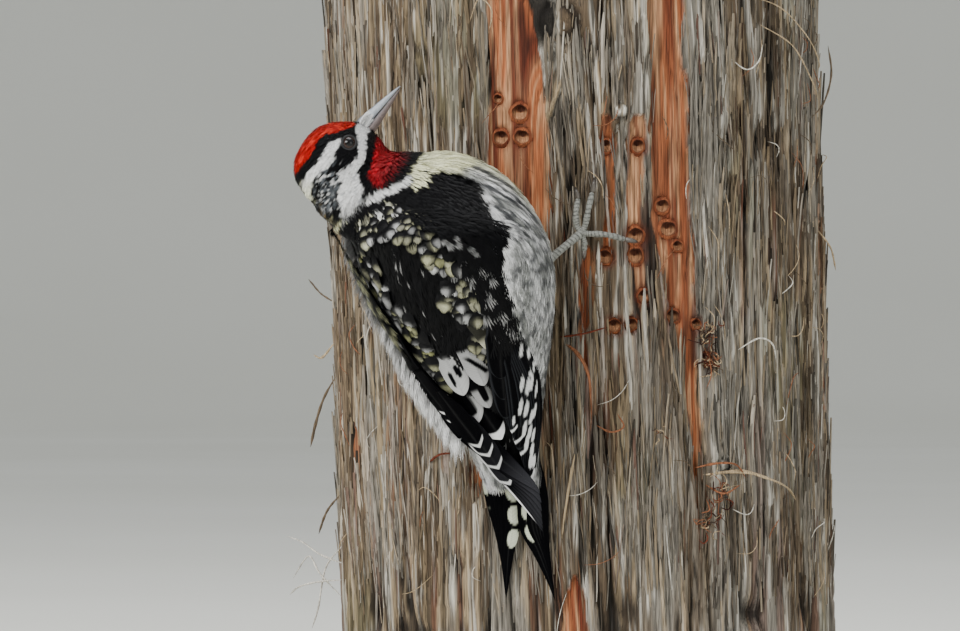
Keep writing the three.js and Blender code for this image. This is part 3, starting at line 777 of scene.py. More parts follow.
def makeStrands(material):
    rng = np.random.default_rng(41)
    extra = []

    def curl(arc, z, turn, step, bend, heights):
        path = []
        for high in heights:
            path.append((arc, z, high))
            arc, z, turn = arc + step * math.sin(turn), z + step * math.cos(turn), turn + bend
        return path

    for _ in range(looseFibres):
        arc, z = rng.uniform(-120, 120), rng.uniform(60, 262)
        turn = rng.uniform(-0.9, 0.9) + math.pi * rng.integers(0, 2)
        step, bend = rng.uniform(2.5, 5.5), rng.uniform(-0.8, 0.8)
        path = curl(arc, z, turn, step, bend, [high * rng.uniform(0.7, 1.3) for high in (0.2, 2.0, 2.6, 1.0)])
        extra.append((rng.uniform(0.22, 0.4), ("tan", "silver", "orange", "brown")[rng.integers(0, 4)], path))
    for middle, height, reach, number in tangles:
        for _ in range(number):
            arc, z = middle + reach * 0.5 * rng.normal(), height + reach * 0.6 * rng.normal()
            turn, bend, step = rng.uniform(0, 6.3), rng.uniform(-1.4, 1.4), reach * rng.uniform(0.3, 0.6)
            path = curl(arc, z, turn, step, bend, [rng.uniform(0.4, 3.2) for _ in range(4)])
            tone = ("brown", "red", "pitchAndShade", "orange", "tan")
            extra.append((rng.uniform(0.2, 0.5), tone[rng.integers(0, 5)], path))
    parts, rows, columns = [], 26, 7
    t, turn = np.linspace(0, 1, rows), fullTurn(columns)
    twist = np.linspace(0, 1.6, rows)[:, None]
    taper = (np.sqrt(np.clip(np.minimum(t, 1 - t) * 5, 0.02, 1)) * (1 + 0.15 * np.sin(t * 31)))[:, None, None]
    shade = 0.75 + 0.5 * noiseAt(93, np.repeat(t, columns) * 9, np.tile(turn, rows))
    for wide, tone, path in strands + extra:
        arc, z, high = curveThrough(path)(t).T
        line = onTrunk(arc, z, high + trunkLobes(arc, z))
        heading = unit(np.gradient(line, axis=0))
        out = unit(line * (1, 1, 0))
        side = unit(np.cross(heading, out))
        flat = side * np.cos(twist) + out * np.sin(twist)
        thin = np.cross(flat, heading)
        half = wide / 2
        ring = flat[:, None] * np.cos(turn)[:, None] * half
        ring = ring + thin[:, None] * np.sin(turn)[:, None] * min(half, 0.3)
        colour = mix(barkPaint[tone] * 1.15, barkPaint["brown"], 0.45 if tone == "orange" else 0)
        parts.append((*closedLoft(line[:, None] + ring * taper), colour * shade[:, None]))
    finishPiece(joinedMesh("trunk_loose_strands", parts), material, "bark")


def makeTrunk():
    material = grainyMaterial("shaggyBark", (2400, 2400, 90), 3.0, (0.42, 1.48), (0.85, 0.5),
                              Roughness=0.88, Specular_IOR_Level=0.25)
    half = trunk["frontHalf"] * trunk["radius"]
    full = math.pi * trunk["radius"]
    front = trunkSheet("trunk_bark_front", -half, half, trunk["frontColumns"], trunk["frontRows"])
    finishPiece(front, material, "bark", "perch_trunk")
    back = trunkSheet("trunk_bark_back", half, 2 * full - half, trunk["backColumns"], trunk["backRows"])
    finishPiece(back, material, "bark", "perch_trunk")
    wood = grainyMaterial("sawnWood", 700, 4.0, (0.78, 1.12), (0.5, 0.25), Roughness=0.7,
                          Specular_IOR_Level=0.3)
    finishPiece(endGrain("trunk_end_top", trunk["high"], 1), wood, "bark", "perch_trunk")
    finishPiece(endGrain("trunk_end_low", trunk["low"], -1), wood, "bark", "perch_trunk")
    growBark(material)
    makeWells(material)
    makeStrands(material)
    print("trunk: bark, sap wells and sawn ends")


makeTrunk()


# the bird's own frames

# stations from the tail to the base of the head:
# x, y, z, turn and tilt in degrees, then the reach to the side, the back and the belly
spineAt = curveThrough([
    (-18.5, -90.5, 58, 10, 0, 8, 1.6, 1), (-20, -92.5, 80, 11, 0, 9, 2.2, 1.4),
    (-22.5, -95, 95, 12, 0, 10.2, 4.6, 4), (-25, -97, 106, 13, 0, 11.4, 7, 6.6),
    (-27.6, -99.5, 116, 14, 0, 13.4, 10.4, 10.2), (-30.4, -102, 125, 15, 0, 16.8, 13.8, 13.6),
    (-34.2, -105.8, 138, 18, 0, 22.2, 18.8, 18.4), (-37.8, -109.6, 152, 25, 0, 27.6, 24.2, 23.8),
    (-41.2, -112, 165, 33, 0, 32.2, 28.8, 28.2), (-44.3, -113.6, 178, 41, 0, 34.4, 32, 32.2),
    (-48.8, -114.4, 189, 48, 5, 34, 32, 34.6), (-55.2, -115, 195.4, 54, 16, 30.4, 29.8, 35.4),
    (-62.8, -116, 199.8, 58, 29, 25, 25.8, 30.6), (-71, -117.8, 202.6, 60, 43, 19.6, 21, 21.4),
    (-78.6, -119.6, 205.4, 60, 55, 15.2, 17.2, 15), (-84.6, -121.6, 208.2, 58, 64, 12.4, 15.2, 10.6)])
lastStation = 15
headMiddle = np.array([-83.9, -118.0, 213.2])
headRaised, headTurned = math.radians(51.5), math.radians(26)
forward = unit([math.cos(headRaised) * math.cos(headTurned), math.sin(headTurned),
                math.sin(headRaised) * math.cos(headTurned)])
crown = unit([-math.sin(headRaised), 0, math.cos(headRaised)])
headRight = np.cross(forward, crown)
headSpan = (-18.0, 16.4)
headAt = curveThrough([  # top, bottom and half width, from the nape to the bill
    (3, -8, 3), (9.8, -13.4, 9.2), (12.6, -16.4, 12.2), (13.7, -18.4, 13.6), (14, -19.4, 13.8),
    (13.6, -19.8, 13), (12, -19.2, 11.2), (8.9, -16.2, 8.4), (4.4, -9, 4.6)])
stationStep = 12.6  # rough length of one station and of one degree round the body
degreeStep = 0.5


def bodyFrame(station):
    row = spineAt(np.asarray(station, float) / lastStation)
    turn, tilt = np.radians(row[:, 3]), np.radians(row[:, 4])
    back = np.stack([-np.sin(turn) * np.cos(tilt), -np.cos(turn) * np.cos(tilt), -np.sin(tilt)], 1)
    right = np.stack([np.cos(turn), -np.sin(turn), 0 * turn], 1)
    ahead = np.stack([-np.sin(turn) * np.sin(tilt), -np.cos(turn) * np.sin(tilt), np.cos(tilt)], 1)
    return row, right, back, ahead


def bodyPoint(station, angle, lift):
    shape, station, angle, lift = flattened(station, angle, lift)
    row, right, back = bodyFrame(station)[:3]
    turn = np.radians(angle)
    deep = np.where(np.cos(turn) > 0, row[:, 6], row[:, 7])
    across = (row[:, 5] + lift) * np.sin(turn)
    out = (deep + lift) * np.cos(turn)
    return (row[:, :3] + right * across[:, None] + back * out[:, None]).reshape(*shape, 3)


def bodyPlace(points):
    stations = np.linspace(0, lastStation, 376)
    row, right, back, ahead = bodyFrame(stations)
    found = []
    for start in range(0, len(points), 6000):
        p = points[start:start + 6000]
        k = np.abs(p @ ahead.T - dot(row[:, :3], ahead)).argmin(1)
        off = p - row[k, :3]
        x, y = dot(off, right[k]), dot(off, back[k])
        deep = np.where(y > 0, row[k, 6], row[k, 7])
        found.append(np.stack([stations[k], np.degrees(np.arctan2(x / row[k, 5], y / deep))], 1))
    return np.concatenate(found)


def headPlace(points):
    off = points - headMiddle
    return np.stack([off @ forward, off @ crown, off @ headRight], 1)


def headPoint(ahead, up, side):
    ahead, up, side = np.broadcast_arrays(ahead, up, side)
    return headMiddle + ahead[..., None] * forward + up[..., None] * crown + side[..., None] * headRight


def headShare(place):  # 1 on the head, 0 on the body
    t = (place[:, 0] - headSpan[0]) / (headSpan[1] - headSpan[0])
    row = headAt(t)
    middle, half = (row[:, 0] + row[:, 1]) / 2, (row[:, 0] - row[:, 1]) / 2
    away = np.hypot((place[:, 1] - middle) / half, place[:, 2] / row[:, 2]) - 1
    away = away * np.minimum(half, row[:, 2])
    away = np.maximum(away, 0) + np.maximum(headSpan[0] - place[:, 0], 0)
    return 1 - ease(away, 0.5, 5.0)


# markings, as outlines laid over the side of the head and over the unrolled body

def patch(x, y, outline, soft=0.4, ragged=0.0, grain=0.9, seed=0):
    p = np.stack([x, y], 1)
    corners = np.asarray(outline, float)
    gap = np.full(len(p), 1e9)
    inside = np.zeros(len(p), bool)
    for a, b in zip(corners, np.roll(corners, -1, 0)):
        edge, to = b - a, p - a
        t = np.clip(to @ edge / max(edge @ edge, 1e-9), 0, 1)
        gap = np.minimum(gap, np.linalg.norm(to - t[:, None] * edge, axis=1))
        crosses = (a[1] > p[:, 1]) != (b[1] > p[:, 1])
        inside ^= crosses & (p[:, 0] < a[0] + (p[:, 1] - a[1]) * edge[0] / (edge[1] or 1e-9))
    gap = np.where(inside, gap, -gap)
    if ragged:
        gap = gap + 2 * ragged * (softNoise(p / grain, seed) - 0.5)
    return ease(gap, -soft, soft)


coatPaint = {"black": paint(3, 3, 5), "white": paint(238, 238, 238), "red": paint(172, 10, 6),
             "fire": paint(228, 56, 34), "crimson": paint(136, 2, 14), "rose": paint(196, 20, 38),
             "yellow": paint(238, 238, 198), "cream": paint(212, 210, 184), "olive": paint(180, 182, 108),
             "grey": paint(178, 180, 176), "slate": paint(62, 64, 68), "smoke": paint(60, 60, 65),
             "green": paint(202, 207, 186), "wispy": paint(120, 126, 132), "brown": paint(120, 104, 72)}

headOutlines = {
    "crown": [(22, 3.9), (15.3, 3.7), (11.8, 2.9), (8, 4.1), (3.3, 6.4), (0.8, 8.6), (-2.6, 9.5), (-5.6, 8.7),
              (-10.6, 8.4), (-12.9, 8.7), (-13.8, 10.5), (-15, 30), (22, 30)],
    "stripe": [(2.1, 3.9), (-1.8, 6.1), (-5.5, 5.3), (-8.4, 5.0), (-12.4, 5.6), (-15, 5.6), (-16.8, 4.4),
               (-22, 2), (-30, -5), (-24, -11), (-18.6, -4), (-17, -0.3), (-14.3, 2.4), (-12, 2.4),
               (-8.8, 1.1), (-5.6, 1.2), (-3.6, 2.2), (0.8, 2.8)],
    "moustache": [(20, 2.9), (12.2, 2.4), (8.4, 0.9), (5.1, -1.4), (-0.6, -4.7), (-4.8, -4.3), (-8.5, -2.9),
                  (-9.9, -5.6), (-13.7, -8.4), (-19, -14.5), (-15.3, -17.9), (-10.9, -16), (-7.2, -12.3),
                  (-3.9, -8.2), (0.7, -7.4), (7, -3.9), (10.9, -2.4), (20, -1.4)],
    "throat": [(20, -5), (12.4, -5.4), (6.6, -8.1), (0.9, -10.3), (-2.6, -11.8), (-5, -15.5), (-5.6, -18.5),
               (-4.5, -30), (20, -30)],
    "ear": [(-2, -0.5), (-6, 0.5), (-12, 2), (-16, 0), (-18, -5), (-17, -10), (-12, -7), (-9, -4.5),
            (-4, -4)],
    "nape": [(-15.8, 6.4), (-17.2, 4.6), (-17.8, -5), (-18.4, -10), (-19, -15), (-30, -15), (-30, 8)],
    "necklace": [(-11.5, -16.0), (-9.0, -18.4), (-5.6, -20.6), (-1.2, -22.6), (3.6, -24.4), (4.6, -22.0),
                 (1.0, -20.6), (-3.6, -19.0), (-6.6, -16.8), (-9.0, -14.6)],
    "shoulder": [(30, -21.0), (17.3, -20.8), (11.6, -21), (7.2, -21.4), (3.5, -22.3), (0.1, -26.7),
                 (3.9, -28.1), (10.2, -27.6), (15.2, -29.5), (16.9, -34.6), (30, -38)],
}
bodyOutlines = {
    "pale": [(13.1, 132), (12.6, 126), (12.2, 124), (11.7, 122), (11.32, 109), (10.78, 99), (10.15, 87),
             (9.58, 74), (8.98, 66), (8.48, 62), (7.92, 60), (7.48, 57), (7.0, 61), (6.4, 71), (5.2, 68),
             (3.8, 66), (1, 62), (1, 340), (2.4, 352), (3.17, 347), (4.0, 340), (4.7, 335), (5.25, 327),
             (5.5, 317), (6.2, 314), (7.3, 317), (9, 316), (10.6, 312), (12, 298), (13.1, 250), (13.0, 209),
             (12.5, 180), (13.0, 151)],
    "edge": [(11.5, 119), (11.0, 105), (10.2, 93), (9.5, 81), (8.9, 72), (8.3, 66), (7.8, 62), (7.8, 58),
             (8.48, 61), (9.0, 65), (9.6, 73), (10.2, 86), (10.8, 98), (11.4, 110)],
    "rightBand": [(13.3, 35), (13.1, 72), (12.2, 70), (11.5, 66), (10.6, 60), (9.8, 56), (9.0, 57),
                  (8.3, 52), (7.5, 48), (6.6, 46), (6.5, 31), (7.5, 25), (8.5, 25), (9.5, 28), (10.5, 29),
                  (11.5, 24), (12.4, 18)],
    "leftBand": [(12.6, -30), (11.8, -20), (10.5, -16), (9.78, -15), (8.42, -17), (7.95, -13), (7.43, -12),
                 (6.6, -11), (6.0, -18), (6.0, -38), (6.7, -35), (7.4, -31), (8, -33), (8.5, -36),
                 (9.8, -38), (11, -43), (12.2, -52)],
}


def onHead(place, name, soft=0.35, ragged=0.5, seed=0):
    return patch(place[:, 0], place[:, 1], headOutlines[name], soft, ragged, 1.0, seed)


def onBody(station, angle, name, soft=0.8, ragged=1.2, seed=0):
    outline = np.array(bodyOutlines[name], float) * (stationStep, degreeStep)
    turn = np.where(angle < 0, angle + 360, angle) if name == "pale" else angle
    return patch(station * stationStep, turn * degreeStep, outline, soft, ragged, 2.4, seed)


def headColour(place):
    p = coatPaint
    a, u, s = place.T
    streak = noiseAt(51, a / 3.2, u / 0.7, s / 0.9)
    patchy = noiseAt(52, a / 2.2, u / 2.2, s / 2.2)
    colour = p["black"] * (0.7 + 0.7 * streak)[:, None]
    ear = onHead(place, "ear", 1.2, 1.2, 1)
    wisps = noiseAt(54, a / 4, u / 0.5, s / 0.7)
    low = ease(np.hypot(a - 1.8, u - 0.6), 6, 12)
    colour = blend(colour, p["wispy"], 0.55 * ear * low * ease(streak + 0.3 * patchy, 0.5, 0.9))
    colour = blend(colour, p["white"] * 0.8, 0.85 * ear * low * ease(wisps, 0.6, 0.75))
    nape = onHead(place, "nape", 0.8, 1.0, 2)
    mottle = ease(noiseAt(53, a / 1.8, u / 1.8, s / 1.8), 0.4, 0.6)
    napeTone = blend(blend(p["brown"], p["black"], ease(patchy, 0.45, 0.6)), p["yellow"] * 0.85, mottle)
    colour = blend(colour, napeTone, nape)
    stripe = onHead(place, "stripe", 0.35, 0.45, 3)
    toNape = ease(-a, 12, 19)
    pale = blend(p["white"], p["yellow"] * 0.82, toNape * (0.5 + 0.5 * patchy))
    colour = blend(colour, pale * (0.86 + 0.2 * streak)[:, None], stripe)
    moustache = onHead(place, "moustache", 0.35, 0.7, 4)
    wispy = ease(noiseAt(55, a / 5, u / 0.45, s / 0.6), 0.6, 0.8) * ease(-a, 1, 6)
    colour = blend(colour, blend(p["white"] * (0.84 + 0.2 * streak)[:, None], p["wispy"] * 1.3,
                                 0.6 * wispy), moustache)
    red = blend(p["red"], p["fire"], ease(streak, 0.45, 0.8))
    colour = blend(colour, red, onHead(place, "crown", 0.3, 0.45, 5))
    crimson = blend(p["crimson"], p["rose"], ease(streak, 0.5, 0.85))
    colour = blend(colour, crimson, onHead(place, "throat", 0.4, 0.7, 6))
    return colour


def bodyColour(station, angle, place):
    p = coatPaint
    x, y = angle * degreeStep, station * stationStep
    streak = noiseAt(61, x / 0.8, y / 5)
    patchy = noiseAt(62, x / 4, y / 6)
    colour = p["black"] * (0.7 + 0.7 * streak)[:, None]
    wave = y / 5.2 + 0.5 * np.abs(((x / 4.6 + 0.5 * patchy) % 1) - 0.5) * 2 + 1.2 * noiseAt(63, x / 7, y / 9)
    bars = ease(np.sin(wave * 2 * math.pi), 0.0, 0.6) * ease(noiseAt(64, x / 3.2, y / 4), 0.25, 0.45)
    toBelly = ease(np.abs(np.where(angle < 0, angle + 360, angle) - 185), 62, 30)
    side = blend(p["grey"] * 0.66, p["white"], 0.95 * ease(streak + 0.7 * patchy, 0.62, 1.15))
    side = blend(side, p["yellow"], np.clip(0.75 * toBelly + 0.8 * ease(station, 11.9, 12.6), 0, 1))
    side = blend(side, p["slate"] * 0.8, 0.72 * bars * (1 - 0.8 * toBelly) * (1 - ease(station, 11.6, 12.5)))
    thin = ease(noiseAt(65, x / 0.9, y / 8), 0.5, 0.7)
    side = blend(side, p["slate"] * 0.7, thin * (0.35 + 0.5 * ease(station, 9.4, 10.4))
                 * (1 - ease(station, 12.2, 12.7)))
    left = ease(-angle, 40, 60) * ease(-angle, 170, 130)
    side = blend(side, p["white"], left * ease(station, 8.6, 7.0))
    colour = blend(colour, side, onBody(station, angle, "pale", 0.6, 0.5, 7))
    colour = blend(colour, p["white"] * (0.8 + 0.25 * streak)[:, None],
                   0.9 * onBody(station, angle, "edge", 0.7, 0.8, 8))
    bandTone = blend(p["cream"], p["white"] * 0.85, ease(patchy, 0.55, 0.8))
    bandTone = blend(bandTone, p["black"], 0.8 * ease(noiseAt(66, x / 2.2, y / 2.6), 0.5, 0.62))
    colour = blend(colour, bandTone, np.maximum(onBody(station, angle, "rightBand", 1, 2, 9),
                                                onBody(station, angle, "leftBand", 1, 2, 10)))
    shoulder = onHead(place, "shoulder", 0.6, 0.9, 11) * (place[:, 2] > -2)
    colour = blend(colour, p["yellow"] * (0.9 + 0.15 * streak)[:, None], shoulder)
    colour = blend(colour, p["white"] * 0.85, onHead(place, "necklace", 0.5, 0.7, 12) * (place[:, 2] > 0))
    nape = onHead(place, "nape", 0.8, 1.0, 2) * ease(station, 12.6, 13.4)
    mottle = ease(noiseAt(67, x / 2.2, y / 2.6), 0.42, 0.6)
    napeTone = blend(blend(p["brown"], p["black"], ease(patchy, 0.4, 0.6)), p["yellow"] * 0.8, mottle)
    return blend(colour, napeTone, nape * ease(np.abs(angle), 80, 50))


def coatColour(station, angle, place, share):
    return blend(bodyColour(station, angle, place), headColour(place), share)


# the skin

skinDepth = {"body": 1.7, "head": 1.0, "thigh": 1.0, "voxel": 0.95}
eyes = {"ahead": 1.8, "up": 0.6, "out": 10.3, "radius": 3.1}
hips = {"right": ((-32, -101, 160), (-13, -99, 178)), "left": ((-49, -98, 157), (-60.5, -82.5, 171.5))}


def fleshParts():
    turn = fullTurn(72)
    station = np.linspace(2.7, lastStation, 150)[:, None]
    row = spineAt(station[:, 0] / lastStation)
    sunk = np.minimum(skinDepth["body"], 0.3 * np.minimum(row[:, 6], row[:, 7]))[:, None]
    full = bell(station, 8.4, 2.2) * bell(np.degrees(turn), 140, 42)
    body = bodyPoint(station + 0 * turn, np.degrees(turn) + 0 * station, 1.5 * full - sunk)
    share = 0.5 - 0.5 * np.cos(np.linspace(0.06, math.pi - 0.06, 60))
    top, bottom, side = (headAt(share) - (1, -1, 1)).T[:, :, None]
    span = np.array(headSpan) + (skinDepth["head"], -skinDepth["head"])
    ahead = mix(span[0], span[1], share)[:, None] + 0 * turn
    up = (top + bottom) / 2 + (top - bottom) / 2 * np.cos(turn)
    head = headPoint(ahead, up, side * np.sin(turn))
    parts = [body, head[:, ::-1]]
    for hip, ankle in hips.values():
        t = np.linspace(0, 1, 24)
        radius = curveThrough([5.6, 6.6, 5.2, 3.4, 2.4])(t) - skinDepth["thigh"]
        axis = unit(np.subtract(ankle, hip))
        one = unit(np.cross(axis, (0, 1, 0)))
        two = np.cross(axis, one)
        middle = np.array(hip) + t[:, None] * np.subtract(ankle, hip)
        ring = np.cos(turn)[:, None] * one + np.sin(turn)[:, None] * two
        parts.append(middle[:, None] + radius[:, None, None] * ring)
    return parts


def makeSkinMesh():
    raw = newObject(joinedMesh("raw_skin", [(*closedLoft(part), None) for part in fleshParts()]))
    melt = raw.modifiers.new("melt", "REMESH")
    melt.mode = "VOXEL"
    melt.voxel_size = skinDepth["voxel"] * mm
    soft = raw.modifiers.new("soft", "SMOOTH")
    soft.factor = 0.5
    soft.iterations = 8
    graph = bpy.context.evaluated_depsgraph_get()
    mesh = bpy.data.meshes.new_from_object(raw.evaluated_get(graph))
    mesh.name = "skin"
    bpy.data.objects.remove(raw)
    mesh.shade_smooth()
    return mesh


skinMesh = makeSkinMesh()
skin = {"point": readPoints(skinMesh), "normal": readAll(skinMesh.vertex_normals, "vector")}
skin["station"], skin["angle"] = bodyPlace(skin["point"]).T
skin["head"] = headPlace(skin["point"])
skin["share"] = headShare(skin["head"])
facing = (dot(skin["normal"], skin["point"] - skin["point"].mean(0)) > 0).mean()
print("skin:", len(skin["point"]), "points, facing out", facing)


def lieOf(station, share):
    ahead = bodyFrame(station)[3]
    return unit(blend(-ahead, -forward, share))


def featherMaterial(name, rough, sheen):
    return grainyMaterial(name, 1500, 2.0, (0.8, 1.14), Roughness=rough, Specular_IOR_Level=0.1,
                          Sheen_Weight=sheen * 0.12, Sheen_Roughness=0.5)


def makeSkin():
    setTint(skinMesh, coatColour(skin["station"], skin["angle"], skin["head"], skin["share"]) * 0.8)
    down = featherMaterial("downySkin", 0.8, 0.1)
    finishPiece(skinMesh, down, "plumage_mottled", "torso", "neck", "head", "thigh_right", "thigh_left")


makeSkin()

# the coat's own shapes, one unit long and one wide, lying along +Y


def vaneShape(name, rows=10, columns=9, camber=0.1, arch=0.03):
    v = np.linspace(0, 1, rows)[:, None]
    u = np.linspace(-1, 1, columns)[None, :]
    half = 0.5 * np.sqrt(np.clip(1 - (np.clip(v - 0.55, 0, 1) / 0.46) ** 2.6, 0, 1))
    half = half * (0.45 + 0.55 * ease(v, 0, 0.45)) + 0.015
    y = v * (1 - 0.04 * u**2) - 0.09 * (np.arange(columns) % 2)[None, :] * ease(v, 0.5, 1)
    z = arch * np.sin(v * math.pi) * 4 - camber * u**2 * 0.5 + 0 * v
    points = np.stack([u * half, y, z], -1).reshape(-1, 3)
    vane = np.stack([u + 0 * v, v + 0 * u, 0 * u + 0 * v], -1).reshape(-1, 3)
    return newMesh(name, points / mm, gridFaces(rows, columns), {"vane": vane})


def tuftShape(name, blades=5, fan=20.0, wide=0.11, curl=0.06, seed=1):
    rng = np.random.default_rng(seed)
    points, quads, tips, vane = [], [], [], []
    for i in range(blades):
        side = (i - (blades - 1) / 2) / max((blades - 1) / 2, 1)
        turn = math.radians(fan) * side
        length = 1 - 0.22 * abs(side) + 0.08 * rng.uniform(-1, 1)
        bend = 0.10 * rng.uniform(-1, 1)
        start = len(points)
        for v, w in ((0, 0.7), (0.36, 1.0), (0.72, 0.72)):
            reach = v * length
            x0, y0 = math.sin(turn) * reach + bend * v * v, math.cos(turn) * reach
            z0 = curl * math.sin(v * math.pi) - 0.05 * abs(side) + 0.03 * (i % 2)
            points += [(x0 - wide * w / 2, y0, z0), (x0 + wide * w / 2, y0, z0)]
            vane += [(side, v, i / blades)] * 2
        points.append((math.sin(turn) * length + bend, math.cos(turn) * length, 0.0))
        vane.append((side, 1.0, i / blades))
        quads += [(start, start + 1, start + 3, start + 2), (start + 2, start + 3, start + 5, start + 4)]
        tips.append((start + 4, start + 5, start + 6))
    return newMesh(name, np.array(points) / mm, [np.array(quads), np.array(tips)], {"vane": np.array(vane)})


shapes = {"vane": vaneShape("vane_shape"), "tuft": tuftShape("tuft_shape"),
          "plume": tuftShape("plume_shape", 9, 24.0, 0.085, 0.05, 2)}


def coatField(name, grow, scale):
    mesh = skinMesh.copy()
    mesh.name = name
    mesh.attributes.remove(mesh.attributes["tint"])  # the feathers are painted afresh
    addField(mesh, "grow", np.clip(grow, 0, 1))
    addField(mesh, "scale", scale)
    addField(mesh, "along", lieOf(skin["station"], skin["share"]))
    return mesh


def tuftRoots(mesh):  # which tuft each point is of, and where its root is
    number = readField(mesh, "number").astype(int)
    root = readField(mesh, "root") / mm
    first, which = np.unique(number, return_index=True, return_inverse=True)[1:]
    return root[first], which


def coatPlaces(mesh, own):
    root, which = tuftRoots(mesh)
    station, angle = bodyPlace(root).T
    row, right, back, ahead = bodyFrame(station)
    turn = np.radians(angle)
    around = unit(right * (row[:, 5] * np.cos(turn))[:, None] - back * (row[:, 6] * np.sin(turn))[:, None])
    off = (readPoints(mesh) - root[which]) * own
    place = headPlace(root[which] + off)
    share = headShare(headPlace(root))[which]
    station2 = station[which] + dot(off, ahead[which]) / stationStep
    angle2 = angle[which] + dot(off, around[which]) / degreeStep
    return root, which, station, angle, station2, angle2, place, share


# each tuft gets a small patch of the map, at its root's place on the unrolled skin
def coatMap(mesh, root, which, station, angle, share, size=0.003):
    place = headPlace(root)
    headFlat = np.stack([np.arctan2(place[:, 2], place[:, 1] + 3) / (2 * math.pi) + 0.5,
                         (place[:, 0] + 24) / 44], 1)
    bodyFlat = np.stack([angle / 360 + 0.5, station / lastStation], 1)
    flat = headFlat if (share > 0.5).mean() > 0.5 else bodyFlat
    flat = (flat - flat.min(0)) / np.maximum(np.ptp(flat, axis=0), 1e-6)
    vane = readField(mesh, "vane")
    local = np.stack([vane[:, 0] * 0.5 + vane[:, 2] * 0.3, vane[:, 1]], 1)
    setMap(mesh, "OFBake", 0.005 + 0.985 * flat[which] + local * size)


# for each coat: shape, feather, size as spacing, width, length and rise, and how far a tuft
# takes the colour under its own points; names with a capital are the tree's own inputs
coats = {
    "coat_head": {"shape": "tuft", "feather": "sleek", "size": (0.54, 2.0, 2.8, 15), "own": 0.45, "Seed": 11},
    "coat_neck": {"shape": "tuft", "feather": "soft", "size": (0.8, 3.0, 4.4, 12), "own": 0.45, "Seed": 12},
    "coat_back": {"shape": "plume", "feather": "gloss", "size": (1.3, 5.2, 8.0, 8), "own": 0.3, "Seed": 13,
                  "Drape": 14.0},
    "coat_bands": {"shape": "vane", "feather": "gloss", "size": (2.2, 5.4, 8.6, 13), "own": 0.3, "Seed": 17,
                   "Drape": 12.0, "Size Spread": 0.24},
    "coat_flank_right": {"shape": "plume", "feather": "soft", "size": (1.05, 4.6, 7.0, 13), "own": 0.8,
                         "Seed": 14, "Sink": -0.3 * mm},
    "coat_flank_left": {"shape": "plume", "feather": "soft", "size": (1.3, 5.0, 7.6, 14), "own": 0.6,
                        "Seed": 15},
    "coat_fluff_left": {"shape": "plume", "feather": "soft", "size": (1.4, 5.6, 9.0, 30), "own": 0.4,
                        "Seed": 16, "Drape": 14.0, "Sink": -0.4 * mm},
    "coat_puff_left": {"shape": "plume", "feather": "soft", "size": (1.2, 6.4, 12.5, 52), "own": 0.3,
                       "Seed": 18, "Drape": 13.0, "Sink": -0.6 * mm},
    "coat_wing": {"shape": "plume", "feather": "covert", "size": (1.2, 5.4, 8.2, 6), "own": 0.3, "Seed": 21,
                  "Drape": 8.0, "Sink": -0.1 * mm, "shuffle": 5},
    "coat_over": {"shape": "plume", "feather": "flank", "size": (1.1, 4.6, 7.0, 11), "own": 0.8, "Seed": 22,
                  "Drape": 16.0, "Sink": -0.2 * mm},
}
feathers = {"sleek": featherMaterial("headFeathers", 0.55, 0.15),
            "soft": featherMaterial("softFeathers", 0.7, 0.25),
            "gloss": featherMaterial("backFeathers", 0.5, 0.1),
            "covert": featherMaterial("covertFeathers", 0.55, 0.05),
            "flank": featherMaterial("flankFeathers", 0.7, 0.2)}


def tuftSizes(coat):
    spacing, width, length, rise = coat["size"]
    sizes = {"Spacing": spacing * mm, "Density": 1.2e7 / max(spacing, 0.3) ** 2 * 0.25, "Width": width * mm,
             "Length": length * mm, "Depth": length * mm, "Size Spread": 0.16, "Rise": math.radians(rise),
             "Rise Spread": math.radians(5), "Yaw Spread": math.radians(9), "Roll Spread": math.radians(8),
             "Drape": 22.0, "Sink": 0.15 * mm}
    sizes.update({key: value for key, value in coat.items() if key[0].isupper()})
    return sizes


def growTufts(name, coat, field, slot, pattern=None, onWing=False):
    material = feathers[coat["feather"]]
    mesh = plant(name, field, shapes[coat["shape"]], material, tuftSizes(coat))
    bpy.data.meshes.remove(field)
    root, which, station, angle, station2, angle2, place, share = coatPlaces(mesh, coat["own"])
    vane = readField(mesh, "vane")
    chance = np.random.default_rng(coat.get("shuffle", coat["Seed"])).random((len(root), 4))
    colour = coatColour(station2, angle2, place, share * (not onWing))
    if pattern:
        colour = pattern(colour, station, angle, which, vane, chance)
    # each tuft is darker towards its root: grey down at the base, and painted shade deeper in the coat
    depth = 0.62 + 0.42 * ease(vane[:, 1], 0.0, 0.7)
    if not onWing:
        depth = depth * (0.9 + 0.2 * chance[which, 3])
    setTint(mesh, colour * depth[:, None])
    coatMap(mesh, root, which, station, angle, headShare(headPlace(root)) * (not onWing))
    finishPiece(mesh, material, slot)
    print("coat:", name, len(root), "tufts,", len(mesh.polygons), "faces")


def growCoat(name, grow, scale, pattern=None, slot="plumage_mottled"):
    growTufts(name, coats[name], coatField(name + "_field", grow, scale), slot, pattern)


def bandShare(station, angle):
    rightBand = onBody(station, angle, "rightBand", 1.5, 2.5, 9)
    return rightBand, onBody(station, angle, "leftBand", 1.2, 2.0, 10)


def backPattern(colour, station, angle, which, vane, chance):
    p = coatPaint
    pale = onBody(station, angle, "pale", 0.5, 0.5, 7) > 0.5
    u, v = vane[:, 0], vane[:, 1]
    dark = p["black"] * (0.7 + 0.6 * chance[which, 3])[:, None]
    spot = np.exp(-(((u - 0.4 * np.sign(chance[which, 0] - 0.5)) / 0.34) ** 2 + ((v - 0.82) / 0.13) ** 2))
    spotted = (chance[:, 1] > 0.93) & (np.abs(angle) < 40) & (station < 10.8)
    out = blend(dark, p["white"] * 0.6, ease(spot, 0.3, 0.6) * spotted[which])
    return np.where(pale[which][:, None], colour, out)


